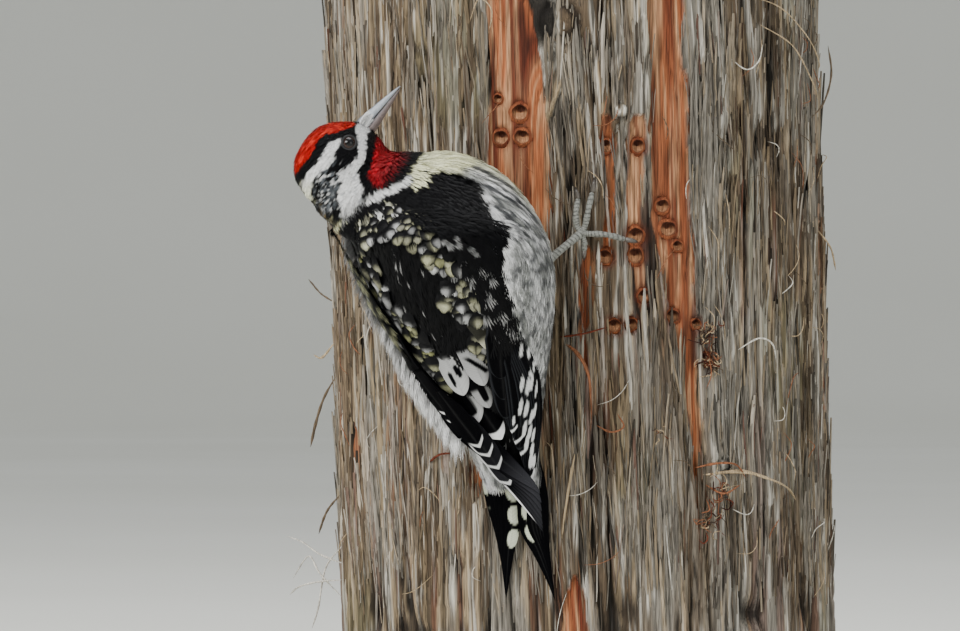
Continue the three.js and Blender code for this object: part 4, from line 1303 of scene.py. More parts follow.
def bandPattern(colour, station, angle, which, vane, chance):
    p = coatPaint
    leftBand = bandShare(station, angle)[1]
    u, v = vane[:, 0], vane[:, 1]
    olive = np.maximum(0.3 + 0.6 * leftBand,
                       np.exp(-(((station - 9.8) / 0.6) ** 2 + ((angle - 42) / 14) ** 2)))
    tone = blend(p["cream"], p["olive"], np.clip(olive * (0.2 + chance[:, 0]), 0, 1) * 0.85)
    tone = blend(tone, p["white"] * 0.75, ease(chance[:, 1], 0.5, 0.65))
    tone = tone * (0.26 + 0.42 * chance[:, 2])[:, None]
    kind = chance[:, 0][which]
    low = 0.36 + 0.24 * chance[:, 3][which]
    lean = 0.18 * np.sin(kind * 40)
    tip = ease(v - 0.14 * (u - lean) ** 2, low, low + 0.26) * ease(1.0 - np.abs(u), 0.0, 0.4)
    slit = ease(np.abs(u), 0.34, 0.1) * ease(v, 0.97, 0.85) * (kind > 0.86)
    half = ease(u * np.sign(kind - 0.5), 0.0, 0.4) * (np.abs(kind - 0.5) < 0.14)
    plainBlack = (chance[:, 3] > 0.9)[which]
    soft = 1 - 0.3 * ease(v, 0.9, 1.0) + 0.2 * np.sin(u * 4 + kind * 30)
    return blend(p["black"], tone[which] * soft[:, None], tip * (1 - 0.85 * slit) * (1 - 0.9 * half)
                 * (1 - plainBlack))


def whiteWithPaintedLight(colour, station, angle, which, vane, chance):
    # painted light: the puff is painted brighter than the coat's white below station 6.2, dimming by station
    # 7.6, and each tuft's root darkening is mostly divided out, to make up for the wing's shade
    bright = coatPaint["white"] * (1.12 - 0.4 * ease(station[which], 6.2, 7.6))[:, None]
    return mix(colour, bright, 0.85) / (0.62 + 0.42 * ease(vane[:, 1], 0, 0.7))[:, None] ** 0.6


def makeCoat():
    station, angle, place, share = skin["station"], skin["angle"], skin["head"], skin["share"]
    same = np.ones(len(angle))
    body = share <= 0.5
    pale = onBody(station, angle, "pale", 0.5, 0.5, 7)
    ahead, up, side = place.T
    sideGap = np.minimum(np.abs(side - 10), np.abs(side + 10))
    eyeGap = np.hypot(np.hypot(ahead - eyes["ahead"], up - eyes["up"]), sideGap * 0.3)
    face = ease(eyeGap, 2.9, 3.5) * (1 - ease(ahead, 15.0, 15.6))
    size = 0.55 + 0.45 * ease(eyeGap, 3, 9) + 0.25 * ease(-ahead, 2, 14) + 0.5 * ease(-up, 8, 16)
    size = size - 0.25 * ease(ahead, 6, 14)
    growCoat("coat_head", (share > 0.5) * face, size, slot="plumage_head")
    growCoat("coat_neck", body * ease(station, 12.3, 12.7), 0.85 * same)
    back = body * ((station > 3.0) & (station < 13.1) & (angle > -70) & (angle < 130)) * (pale < 0.6)
    fine = 0.7 + 0.3 * ease(station, 12.5, 9) - 0.2 * ease(angle, 58, 80)
    growCoat("coat_back", back, fine, backPattern)
    rightBand, leftBand = bandShare(station, angle)
    band = back * ease(np.maximum(rightBand, leftBand), 0.5, 0.8) * (station > 5.9)
    growCoat("coat_bands", band, fine, bandPattern)
    pale = body * pale * (station < 13.2)
    growCoat("coat_flank_right", pale * (angle > 45) * (angle < 178), 0.9 + 0.2 * ease(station, 9, 5))
    growCoat("coat_flank_left", pale * (angle < 0), 0.95 * same)
    fluff = body * ease(station, 4.3, 4.7) * ease(station, 12.2, 11.6)
    fluff = fluff * ease(-angle, 52, 60) * ease(-angle, 140, 120)
    growCoat("coat_fluff_left", fluff, 0.75 + 0.25 * ease(station, 7, 5))
    reach = 1 - 0.27 * ease(station, 6.2, 7.6)
    puff = body * ease(station, 4.2, 4.8) * ease(station, 11.2, 10.4) * ease(-angle, 48, 56)
    puff = puff * ease(-angle / reach, 125, 105)
    growCoat("coat_puff_left", puff, 1 - 0.3 * ease(station, 6.2, 7.6), whiteWithPaintedLight)


makeCoat()


# wings, tail and the large feathers of the back, each feather a thin closed sheet of its own

wings = {
    "right": {"mirror": 1, "tip": 2.45, "inner": (64, 52, 46, 44, 42, 40, 34, 24, 18, 14, 10, 22),
              "outer": (70, 84, 90, 88, 76, 68, 62, 72, 80, 76, 60, 36),
              "lift": (-1.4, -0.2, 0.2, 0.2, 0.2, 0.2, 0.2, 0.3, 0.6, 0.8, 1.4, 2.2)},
    "left": {"mirror": -1, "tip": 1.33, "inner": (55, 47, 41, 36, 33, 38, 45, 39, 16, -14, -46, -52),
             "outer": (58, 51, 46, 43, 42, 42, 45, 32, 19, 8, -3, -30),
             "lift": (-1.4, -0.2, 0.2, 0.2, 0.2, 0.2, 0.4, 1.2, 3.4, 4.4, 4.8, 5.2)},
}
wingTop = 12.1
wingDepth = curveThrough((0.8, 1.8, 2.2, 2.2, 2, 2, 1.8, 1.8, 1.6, 1.4, 1.2, 0.9))
for wing in wings.values():
    for edge in ("inner", "outer", "lift"):
        wing[edge] = curveThrough(wing[edge])


def wingPlace(name):
    wing = wings[name]

    def at(share, across, high):
        shape, share, across, high = flattened(share, across, high)
        inner, outer = wing["inner"](share), wing["outer"](share)
        turn = wing["mirror"] * ((inner + outer) / 2 + (outer - inner) / 2 * across)
        lift = wing["lift"](share) + wingDepth(share) + high
        return bodyPoint(mix(wingTop, wing["tip"], share), turn, lift).reshape(*shape, 3)

    return at


tailEdges = {"left": ((-34.6, -34.2, -32.8, -30.9, -28.9, -27.9, -26.9),
                      (-22.2, -22.2, -22.1, -22, -24.2, -25.2, -26)),
             "right": ((-15.6, -14.2, -12, -10.3, -10.1, -9, -8.5),
                       (-21.4, -21.4, -21.4, -21.3, -16.4, -12.4, -9.3))}
tailSize = {"high": 112, "low": 61, "clear": 0.8, "rise": 7, "thick": 1.7}


def tailPlace(name):
    outside, inside = (curveThrough(edge) for edge in tailEdges[name])

    def at(share, across, high):
        shape, share, across, high = flattened(share, across, high)
        x = mix(inside(share), outside(share), (across + 1) / 2)
        z = mix(tailSize["high"], tailSize["low"], share)
        reach = trunk["radius"] + tailSize["clear"] + tailSize["thick"]
        reach = reach + tailSize["rise"] * np.maximum(1 - share, 0) ** 1.6 + high
        return np.stack([x, -np.sqrt(reach**2 - (x - trunkShift(z)) ** 2), z], -1).reshape(*shape, 3)

    return at


# where a vane starts to narrow, how fast it does, and how blunt its tip is
vaneTips = {"flight": (0.55, 2.0, 0.8), "round": (0.62, 2.0, 0.5), "stiff": (0.35, 1.5, 1.0)}


def featherWidth(v, kind):
    base = np.minimum(1, 0.35 + 2.4 * v)
    start, power, blunt = vaneTips[kind]
    t = np.clip((v - start) / (1 - start), 0, 1)
    return base * np.maximum(1 - t**power, 0) ** blunt + 0.015


# the dip along the quill, and how far the vane's edges sweep back at the tip
vaneForm = {"quillDip": 0.16, "quillWide": 0.07, "sweep": 0.25, "barbSlant": 0.75}
featherRow = np.array([-1, -0.9, -0.8, -0.68, -0.56, -0.44, -0.32, -0.2, -0.08, 0, 0.08, 0.2, 0.32, 0.44,
                       0.56, 0.68, 0.8, 0.9, 1])


# root and tip are places on the surface, and lift is the height at the root and at the tip
def featherSheet(place, root, tip, half, lift, kind="flight", rows=80, bend=0.0, camber=0.3, step=0.5,
                 thick=0.22):
    v = 1 - (1 - np.linspace(0, 1, rows)) ** 1.15
    u = featherRow
    one, two = mix(root[0], tip[0], v), mix(root[1], tip[1], v) + bend * np.sin(v * math.pi)
    high = mix(lift[0], lift[1], v)
    line = place(one, two, high)
    normal = unit(place(one, two, high + 1) - line)
    heading = unit(np.gradient(line, axis=0))
    side = unit(np.cross(heading, normal))
    toward = place(one, two + step, high) - place(one, two - step, high)
    side = side * np.sign(dot(side, toward))[:, None]
    normal = unit(np.cross(heading, side))
    normal = normal * np.sign(dot(normal, place(one, two, high + 1) - line))[:, None]
    wide = (half * featherWidth(v, kind))[:, None]
    sag = camber * (u**2)[None, :] * (wide / half) ** 2
    sag = sag - vaneForm["quillDip"] * bell(u, 0, vaneForm["quillWide"])[None, :]
    middle = line[:, None] + side[:, None] * (wide * u)[..., None] - normal[:, None] * sag[..., None]
    middle = middle - heading[:, None] * (vaneForm["sweep"] * wide * (u**2) * v[:, None] ** 6)[..., None]
    edge = (1 - np.abs(u) ** 6)[None, :, None] * np.minimum(1, (1 - v) * 12)[:, None, None]
    upper, lower = middle + normal[:, None] * thick / 2 * edge, middle - normal[:, None] * thick / 2 * edge
    length = np.concatenate([[0], np.cumsum(np.linalg.norm(np.diff(line, axis=0), axis=1))])
    flip = dot(np.cross(side, heading), normal).mean() > 0
    vane = np.stack([u + 0 * v[:, None], v[:, None] + 0 * u, (length[-1] - length)[:, None] + 0 * u], -1)
    return {"upper": upper, "lower": lower, "flip": flip, "vane": vane, "half": wide + 0 * u[None, :]}


# one mesh of many feathers, with a colour and a place across the barbs for each point
def featherMesh(name, sheets, colours):
    parts, barbs, flats = [], [], []
    across = math.ceil(math.sqrt(len(sheets) * 2))  # squares along one side of the map, two for each feather
    for index, (sheet, colour) in enumerate(zip(sheets, colours)):
        u, v, d = np.moveaxis(sheet["vane"], -1, 0)
        rows, columns = u.shape
        count, last = rows * columns, (rows - 1) * columns
        grid = gridFaces(rows, columns)
        rim = np.concatenate([np.arange(columns - 1), np.arange(rows - 1) * columns + columns - 1,
                              last + np.arange(columns - 1, 0, -1), np.arange(rows - 1, 0, -1) * columns])
        after = np.roll(rim, -1)
        wall = np.stack([rim, after, after + count, rim + count], 1)
        if sheet["flip"]:
            squares = [grid, grid[:, ::-1] + count, wall[:, ::-1]]
        else:
            squares = [grid[:, ::-1], grid + count, wall]
        points = np.concatenate([sheet["upper"].reshape(-1, 3), sheet["lower"].reshape(-1, 3)])
        parts.append((points, np.concatenate(squares), None, np.tile(colour.reshape(-1, 3), (2, 1))))
        barbs += [(d - vaneForm["barbSlant"] * np.abs(u) * sheet["half"] + index * 7.0).ravel()] * 2
        local = np.stack([u * 0.46 + 0.5, v * 0.94 + 0.03], -1).reshape(-1, 2)
        for square in (index * 2, index * 2 + 1):
            flats.append((np.array([square % across, square // across]) + local) / across)
    mesh = joinedMesh(name, parts, {"barb": np.concatenate(barbs)})
    setMap(mesh, "OFBake", np.concatenate(flats))
    return mesh


def vaneMaterial(name):
    material, tree, shader = newMaterial(name, Roughness=0.6, Specular_IOR_Level=0.03)
    barb = addNode(tree, "ShaderNodeAttribute", attribute_name="barb").outputs["Fac"]
    lines = addNode(tree, "ShaderNodeTexNoise", {"W": barb, "Scale": 3.2, "Detail": 2.0},
                    noise_dimensions="1D")
    tinted(tree, shader, lines.outputs["Fac"], 0.82, 1.12)
    bumpOf(tree, shader, lines.outputs["Fac"], 0.5, 0.15)
    return material


def plain(sheet, colour, edge=None, shaft=0.55):
    u, v = sheet["vane"][..., 0], sheet["vane"][..., 1]
    tone = colour * (0.85 + 0.2 * v)[..., None]
    if edge is not None:
        rim = np.maximum(ease(np.abs(u), 0.8, 0.97), ease(v, 0.975, 0.995))[..., None]
        tone = mix(tone, edge, 0.8 * rim)
    return mix(tone, tone * shaft + 0.01, bell(u, 0, 0.09)[..., None])


def laid(tone, colour, share):
    return mix(tone, colour, np.clip(share, 0, 1)[..., None])


# a row of oblong spots along one web:
# distances from the tip, near and far across the web, and how square they are
def spots(sheet, every, first, length, near, far, side, square):
    u, d = sheet["vane"][..., 0] * side, sheet["vane"][..., 2]
    k = np.round((d - first) / every)
    off = (d - first - np.maximum(k, 0) * every) / (length / 2)
    across = (u - (near + far) / 2) / (abs(far - near) / 2)
    return ease(1 - (np.abs(off) ** square + np.abs(across) ** square), -0.12, 0.12)


# white marks of the right wing by station, angle, half length and half width
wingSpots = [(6.72, 56, 2.7, 0.75), (6.66, 66, 2.9, 0.95), (6.27, 61, 1.6, 0.6), (6.28, 69, 2.2, 0.7),
             (5.92, 49, 2.5, 0.8), (5.88, 55, 2.8, 0.9), (5.83, 61, 2.8, 0.9), (5.85, 68, 2.6, 0.7),
             (5.25, 43, 2.8, 0.75), (5.2, 50, 2.8, 0.9), (5.12, 57, 2.7, 0.8), (5.1, 64, 2.6, 0.7),
             (4.93, 32, 1.6, 0.5), (4.55, 27, 1.7, 2.2), (4.12, 29, 1.8, 2.8), (3.70, 32, 2.0, 2.9),
             (4.52, 45, 2.8, 0.8), (4.45, 53, 2.6, 0.8), (4.4, 60, 2.4, 0.7), (3.92, 46, 2.8, 0.8),
             (3.85, 54, 2.4, 0.8), (3.35, 47, 2.6, 0.8), (3.3, 54, 2.3, 0.7), (2.8, 42, 2.4, 0.8),
             (2.8, 49, 2.2, 0.7)]


def markShare(points):
    flat = points.reshape(-1, 3)
    total = np.zeros(len(flat))
    lean = math.radians(6)
    for n, (station, angle, long, wide) in enumerate(wingSpots):
        crescent = wide > 2
        station = station + (0.0 if crescent else 0.11 * math.sin(n * 2.4))
        spot = bodyPoint(np.array([station]), np.array([float(angle)]), 2.5)[0]
        right, back, ahead = (k[0] for k in bodyFrame([station])[1:])
        turn = math.radians(angle)
        across = unit(right * math.cos(turn) - back * math.sin(turn))
        down = -ahead * math.cos(lean) + across * math.sin(lean)
        across = unit(across - down * dot(across, down))
        x, y = np.abs((flat - spot) @ across / wide), (flat - spot) @ down / long
        inside = ease(1 - (x**2.4 + np.abs(y) ** 2.4), -0.2, 0.2)
        if crescent:
            inside = ease(0.3 - np.abs(y - 0.45 + 1.1 * x**1.5), -0.1, 0.1) * ease(x, 1.05, 0.95)
        total = np.maximum(total, inside)
    return total.reshape(points.shape[:-1])


# rows of feathers on each wing: a pair is the first feather's value and the step to the next one
featherRows = {
    "right": [
        {"kind": "flight", "count": 9, "root": ((0.30, 0.012), (0.84, -0.10)), "half": (3.2, 0.08),
         "camber": 0.25,
         "reach": (0.93, 0.99, 1.0, 0.985, 0.96, 0.93, 0.89, 0.85, 0.81), "tip": (0.86, -0.17),
         "lift": ((-1.5, 0.12), (-1.3, 0.16))},
        {"kind": "round", "count": 7, "root": ((0.30, 0.02), (0.25, -0.13)), "half": (4.0, 0), "camber": 0.35,
         "reach": (0.865, -0.028), "tip": (-0.30, -0.09), "lift": ((-0.5, 0.10), (0.1, 0.13))},
        {"kind": "round", "count": 3, "root": ((0.42, 0.03), (-0.45, -0.1)), "half": (4.6, 0), "camber": 0.5,
         "reach": (0.74, -0.055), "tip": (-0.75, 0), "lift": ((0.3, 0.12), (1.1, 0.14))},
    ],
    "left": [
        {"kind": "flight", "count": 9, "root": ((0.30, 0.012), (0.90, -0.10)), "half": (3.2, 0.16),
         "camber": 0.25,
         "reach": (0.90, 0.965, 1.0, 0.995, 0.985, 0.97, 0.955, 0.935, 0.91), "tip": (0.86, -0.2),
         "lift": ((-1.4, 0.12), (-1.4, 0.17))},
        {"kind": "round", "count": 6, "root": ((0.30, 0.02), (0.45, -0.13)), "half": (4.2, 0), "camber": 0.35,
         "reach": (0.78, -0.025), "tip": (0.25, -0.14), "lift": ((-0.4, 0.10), (0.15, 0.13))},
    ],
}
# the crescent-tipped feathers over the left wing, lowest first:
# root and tip as station and angle, then half width
tippedFeathers = [((4.5, -16), (2.55, 7), 3.6), ((4.9, -19), (3.08, 0), 3.9), ((5.3, -22), (3.5, -5), 4.0),
                  ((5.7, -26), (3.82, -11), 3.9)]


def rowOfFeathers(place, row):
    for i in range(row["count"]):
        along, across, tip, half, low, high = (first + step * i for first, step in (
            *row["root"], row["tip"], row["half"], *row["lift"]))
        reach = row["reach"][i] if len(row["reach"]) > 2 else row["reach"][0] + row["reach"][1] * i
        sheet = featherSheet(place, (along, across), (reach, tip), half, (low, high), row["kind"],
                             camber=row["camber"])
        yield i, sheet


def rightWing():
    p, place = coatPaint, wingPlace("right")
    for row in featherRows["right"]:
        for _, sheet in rowOfFeathers(place, row):
            tone = plain(sheet, p["black"] * (1.5 if row["kind"] == "flight" else 1.0), p["slate"] * 0.5)
            yield sheet, laid(tone, p["white"] * 0.88, markShare(sheet["upper"]))


def leftWing():
    p, place = coatPaint, wingPlace("left")
    flight, inner = featherRows["left"]
    for i, sheet in rowOfFeathers(place, flight):
        u, v, d = np.moveaxis(sheet["vane"], -1, 0)
        smoke = 0.85 * ease(v, 0.78, 0.96) * ease(np.abs(u), 0.98, 0.85)
        tone = laid(plain(sheet, p["black"]), p["smoke"] * (0.5 + 0.05 * i), smoke)
        if i in (0, 2):
            tone = laid(tone, p["white"], ease(u, 0.66, 0.84) * ease(d, 3, 8))
        yield sheet, tone
    for j, sheet in rowOfFeathers(place, inner):
        u, d = sheet["vane"][..., 0], sheet["vane"][..., 2]
        crescent = ease(0.8 - np.abs(d - 1.0 - 1.3 * np.abs(u) ** 1.5), -0.3, 0.3) * 0.95 * (j > 3)
        yield sheet, laid(plain(sheet, p["black"]), p["white"] * 0.86, crescent)
    for n, (root, tip, half) in enumerate(tippedFeathers):
        lift = (4.6 + 0.1 * n, 7.1 + 0.12 * n)
        sheet = featherSheet(bodyPoint, root, tip, half, lift, "round", rows=60, step=4, camber=0.5)
        u, d = sheet["vane"][..., 0], sheet["vane"][..., 2]
        crescent = ease(0.74 - np.abs(d - 1.1 - 2.1 * np.abs(u) ** 1.7), -0.25, 0.25) * ease(u, -1.0, -0.7)
        crescent = np.maximum(crescent, 0.9 * ease(-u, 0.8, 0.9) * ease(d, 1, 3) * (n < 3))
        tone = plain(sheet, mix(p["black"], p["smoke"] * 0.5, 0.5 - 0.17 * n))
        yield sheet, laid(tone, p["white"] * 0.7, crescent)


def tailFeathers():
    p = coatPaint
    for name, web in (("left", 1), ("right", -1)):
        place = tailPlace(name)
        for i in range(5):
            across = 0.84 - 0.4 * i
            tip = (0.84 + 0.04 * i, across * 0.3 if i < 4 else -0.5)
            lift = (-1.1 + 0.3 * i, -1.3 + 0.28 * i)
            sheet = featherSheet(place, (-0.08, across * 0.8), tip, 3.1, lift, "stiff", camber=0.3)
            u, d = sheet["vane"][..., 0], sheet["vane"][..., 2]
            tone = plain(sheet, p["black"])
            if i == 4:  # the middle pair is barred
                bars = spots(sheet, 8.2, 22 if name == "left" else 25, 6.4, -0.5, 1.1, -web, 2.2)
                tone = laid(tone, p["green"], bars)
            if i == 0:  # the outer one is spotted, and edged white on the right
                edge = ease(u * web, 0.7, 0.85) * ease(d, 6, 10) * (name == "right")
                tone = laid(tone, p["white"] * 0.85, edge)
                tone = laid(tone, p["green"], spots(sheet, 9.0, 14, 5.0, 0.2, 1.0, web, 2.4)
                            * ease(d, 24, 28))
            yield sheet, tone


# the big feathers low on the back, one by one: root and tip as station and angle, then half width and marking
lowBack = [
    ((5.7, -28), (4.05, -12), 3.4, "thin"), ((5.7, -22), (3.95, 0), 3.8, "thin"),
    ((6.0, -6), (4.15, 13), 4.2, "tip"), ((6.5, -29), (4.84, -5), 5.6, "oval"),
    ((6.7, 4), (5.28, 12), 3.4, "grey"), ((7.3, 13), (5.85, 15), 3.9, "slash"),
    ((7.2, -9), (5.6, -7), 4.6, "drops"), ((7.9, 30), (6.62, 39), 4.2, "cream"),
]


def lowBackTone(sheet, mark):
    p = coatPaint
    u, v, d = np.moveaxis(sheet["vane"], -1, 0)
    # painted shade: the grey-white is darker towards the root and towards both edges, and lighter down the
    # middle of the curved feather
    white = plain(sheet, p["white"] * 0.5, None, 0.85) * (0.62 + 0.38 * v + 0.1 * (1 - u**2))[..., None]
    if mark in ("thin", "tip"):
        wide = 0.75 if mark == "thin" else 1.7
        edge = ease(wide - np.abs(d - wide * 0.9 - 1.6 * np.abs(u) ** 2), -0.3, 0.3)
        return laid(plain(sheet, p["black"]), p["white"] * 0.9, edge)
    if mark == "oval":
        inside = ease(0.56 - np.abs(u + 0.08) - 0.5 * np.clip(4.4 - d, 0, 4.4) ** 2 / 9, -0.06, 0.08)
        return laid(white, p["black"], np.maximum(inside * ease(d, 2.4, 3.4), ease(d, 9.5, 11.5)))
    if mark == "grey":
        inside = ease(0.4 - np.abs(u - 0.12) - 0.4 * np.clip(4 - d, 0, 4) ** 2 / 9, -0.06, 0.08)
        return laid(white * 0.7, p["black"], np.maximum(inside * ease(d, 2.0, 3.0), ease(d, 6.5, 8.5)))
    if mark == "slash":
        bar = np.abs(u - 0.1 + 0.16 * (d - 8.5)) / 0.26
        tone = laid(white * 0.85, p["black"], ease(1 - bar, -0.2, 0.3) * ease(d, 3.4, 4.4) * ease(d, 13, 11))
        return laid(tone, p["black"], ease(d, 13.5, 15.5))
    if mark == "drops":
        one = ((d - 7.4 - 2.0 * u) / 3.2) ** 2 + ((u + 0.34) / 0.2) ** 2
        two = ((d - 9.8 + 2.0 * u) / 2.6) ** 2 + ((u - 0.38) / 0.24) ** 2
        tone = laid(white, p["black"], np.maximum(ease(1 - one, -0.2, 0.2), ease(1 - two, -0.2, 0.2)))
        return laid(tone, p["black"], ease(d, 14.5, 16.5))
    return laid(plain(sheet, p["cream"] * 0.92, None, 0.85) * 0.8, p["black"], ease(d, 7, 10) * 0.95)


def backFeathers():
    for n, (root, tip, half, mark) in enumerate(lowBack):
        lift = (-3.4 + 0.06 * n, (3.4 if mark in ("thin", "tip") else 2.2) + 0.07 * n)
        sheet = featherSheet(bodyPoint, root, tip, half, lift, "round", rows=60, step=4, camber=0.9)
        yield sheet, lowBackTone(sheet, mark)


def makeBigFeathers():
    material = vaneMaterial("flightFeathers")
    for name, maker, slot, *replaced in (
            ("feathers_wing_right", rightWing, "plumage", "wing_right"),
            ("feathers_wing_left", leftWing, "plumage", "wing_left"),
            ("feathers_tail", tailFeathers, "plumage", "tail_left", "tail_right"),
            ("feathers_back", backFeathers, "plumage_mottled")):
        mesh = featherMesh(name, *zip(*maker()))
        finishPiece(mesh, material, slot, *replaced)
        print("feathers:", name, len(mesh.polygons), "faces")


def wingField(name):
    place = wingPlace(name)
    rows, columns = 110, 30
    share, across = np.meshgrid(np.linspace(-0.02, 0.86, rows), np.linspace(-1, 1.12, columns), indexing="ij")
    points = place(share, across, 0.1).reshape(-1, 3)
    along = unit((place(share + 0.01, across, 0.1) - place(share, across, 0.1)).reshape(-1, 3))
    faces = gridFaces(rows, columns)
    corner = points[faces[0]]
    out = np.cross(corner[1] - corner[0], corner[3] - corner[0])
    if dot(out, corner[0] - spineAt(np.array([0.8]))[0, :3]) < 0:
        faces = faces[:, ::-1]
    station, angle = bodyPlace(points).T
    return share.ravel(), across.ravel(), points, faces, along, onBody(station, angle, "pale", 0.5, 0.5, 7)


def wingCoverts(name):
    share, across, points, faces, along, pale = wingField(name)
    reach = mix(0.56, 0.47, (across + 1) / 2)
    grow = (1 - ease(share, reach - 0.02, reach)) * (pale < 0.55) * (across < 1.01)
    fields = {"grow": grow, "along": along, "scale": 0.62 + 0.5 * ease(share, 0.1, 0.5)}
    few, edge = (0.45, 54) if name == "left" else (0.26, 58)
    tip = coatPaint["white"] * 0.32
    if name == "left":
        tip = mix(coatPaint["olive"], coatPaint["cream"], 0.6) * 0.5

    def pattern(colour, station, angle, which, vane, chance):
        tone = backPattern(colour, station, angle, which, vane, chance)
        lit = (chance[:, 2] < few) & (np.abs(angle) < edge) & (station > 6.4) & (station < 10.5)
        return blend(tone, tip, ease(vane[:, 1], 0.4, 0.7) * lit[which])

    field = newMesh("covert_field", points, faces, fields)
    growTufts("coat_wing_" + name, coats["coat_wing"], field, "plumage", pattern, True)


def flankOverWing(name):
    share, across, points, faces, along, pale = wingField(name)
    fields = {"grow": (pale > 0.5) * (1 - ease(share, 0.5, 0.6)), "along": along, "scale": 0.9 + 0 * share}
    field = newMesh("over_field", points, faces, fields)
    growTufts("coat_over_" + name, coats["coat_over"], field, "plumage_mottled", None, True)


makeBigFeathers()
for wingName in wings:
    wingCoverts(wingName)
flankOverWing("right")


# bill, eyes, legs and claws

# closed tubes along smooth lines; each part has points, radii, rows, columns and a bump for each ring
def tubeMesh(name, tubes, colour):
    parts = []
    for tube in tubes:
        rows, columns = tube["rows"], tube["columns"]
        t, turn = np.linspace(0, 1, rows), fullTurn(columns)
        line = curveThrough(tube["points"])(t)
        radius = curveThrough(tube["radii"])(t) * tube.get("bump", 1)
        radius = radius * np.sqrt(np.clip(np.minimum(t, 1 - t) * rows * 0.6 + 0.12, 0, 1))
        heading = unit(np.gradient(line, axis=0))
        side = unit(np.cross(line * (1, 1, 0), heading))
        up = np.cross(heading, side)
        ring = np.cos(turn)[:, None] * side[:, None] + np.sin(turn)[:, None] * up[:, None]
        tone = colour(np.repeat(t, columns), np.tile(turn, rows))
        parts.append((*closedLoft(line[:, None] + radius[:, None, None] * ring), tone))
    return joinedMesh(name, parts)


billSize = {"length": 20.5, "upper": 4.1, "lower": 3.3, "gape": -0.4, "drop": 0.2, "half": 4.0, "base": 16.7}


def billHalf(sign):
    rows, columns = 64, 48
    share = 1 - (1 - np.linspace(0, 1, rows)) ** 1.3
    t, a = share[:, None], fullTurn(columns)[None, :]
    length = billSize["length"] - (0 if sign > 0 else 0.9)
    taper = (1 - t) ** 0.82
    wide = mix(0.42, billSize["half"], taper)
    deep = mix(0.34, billSize["upper" if sign > 0 else "lower"], taper)
    ridge = np.abs(np.cos(a / 2)) ** 1.15
    across = np.sin(a) * wide * mix(0.72, 1, 1 - np.abs(np.cos(a / 2)))
    up = 0.08 + deep * ridge * np.maximum(0, np.cos(a / 2))
    groove = 0.16 * bell(np.abs(across) / wide, 0.55, 0.12) * (sign > 0)
    groove = groove * np.sin(math.pi * np.clip(t * 1.3, 0, 1))
    up = np.maximum(up - groove, 0.02)
    place = headPoint(billSize["base"] - 1.2 * (t == 0) + t * length,
                      billSize["gape"] - billSize["drop"] * t + sign * up, across)
    high = up / np.maximum(deep, 0.01)
    if sign > 0:
        place, high = place[:, ::-1], high[:, ::-1]
    return place, high + 0 * t, np.broadcast_to(t, high.shape)


def makeBill():
    material = grainyMaterial("hornBill", 900, 3.0, (0.85, 1.1), (0.25, 0.08), Roughness=0.36,
                              Specular_IOR_Level=0.45)
    for name, sign in (("bill_upper", 1), ("bill_lower", -1)):
        place, high, t = billHalf(sign)
        t, high = t.ravel(), high.ravel()
        streak = noiseAt(71, t * 3, high * 9)
        if sign > 0:
            # painted highlight: the upper mandible is painted light blue-grey over most of its sides, though
            # the bill is dark slate
            colour = blend(paint(172, 178, 186), paint(82, 84, 90), ease(high, 0.82, 0.98))
            colour = blend(colour, paint(120, 112, 110), 0.7 * ease(high, 0.12, 0.02))
        else:
            # painted light and shade: the lower mandible is lighter at its upper edge and darker underneath
            colour = blend(paint(112, 100, 98), paint(150, 150, 154), ease(high, 0.3, 0.05))
        colour = blend(colour, paint(64, 60, 60), 0.35 * ease(t, 0.7, 1.0))
        mesh = joinedMesh("horn_" + name, [(*closedLoft(place), colour * (0.82 + 0.3 * streak)[:, None])])
        finishPiece(mesh, material, "horn", name)


bristles = {"number": 260, "wide": 0.16, "short": 2.0, "long": 3.6, "curl": 0.25}


# white bristles that lie forward over the base of the bill
def nasalTufts():
    ahead, across = np.meshgrid(np.linspace(14.2, 17.6, 14), np.linspace(-1.15, 1.15, 30), indexing="ij")
    ahead, across = ahead.ravel(), across.ravel()
    side = np.sign(across) * (2.6 + 1.5 * (1 - np.abs(across))) * mix(1.15, 1.0, ease(ahead, 14, 17))
    place = headPoint(ahead, 0.9 + 2.6 * (1.0 - np.abs(across)) - 0.6, side)
    normal = unit(headPoint(ahead * 0, (1.2 - np.abs(across)), np.sign(across) * 1.0) - headMiddle)
    rng = np.random.default_rng(8)
    pick = rng.choice(np.flatnonzero(np.abs(across) > 0.12), bristles["number"])
    base, quads, tips, vane = [], [], [], []
    for i in pick:
        root = place[i] + rng.uniform(-0.25, 0.25, 3)
        lie = forward + normal[i] * rng.uniform(0.02, 0.16) - crown * rng.uniform(-0.1, 0.22)
        lie = unit(lie + 0.15 * rng.uniform(-1, 1, 3))
        wide = unit(np.cross(lie, normal[i])) * bristles["wide"]
        length = rng.uniform(bristles["short"], bristles["long"])
        start = len(base)
        for t, w in ((0, 1.0), (0.5, 0.9)):
            middle = root + lie * length * t + normal[i] * bristles["curl"] * math.sin(math.pi * t)
            base += [middle - wide * w, middle + wide * w]
            vane += [(-1, t), (1, t)]
        base.append(root + lie * length)
        vane.append((0, 1))
        quads.append((start, start + 1, start + 3, start + 2))
        tips.append((start + 2, start + 3, start + 4))
    mesh = newMesh("coat_nasal_tufts", np.array(base), [np.array(quads), np.array(tips)])
    vane, number = np.array(vane, float), np.repeat(np.arange(len(pick)), 5)
    shade = 0.78 + 0.25 * np.random.default_rng(3).random(len(pick))[number]
    setTint(mesh, coatPaint["white"] * (shade * mix(0.8, 1.0, vane[:, 1]))[:, None])
    flat = np.stack([(across[pick] + 1.2) / 2.4, (ahead[pick] - 14) / 3.8], 1)[number]
    setMap(mesh, "OFBake", 0.02 + 0.95 * flat + vane * (0.0015, 0.003))
    finishPiece(mesh, featherMaterial("nasalBristles", 0.6, 0.1), "plumage_head")


eyeLid = {"wide": 2.6, "tall": 2.3, "thick": 0.46, "beads": 24, "around": 96, "tube": 16}


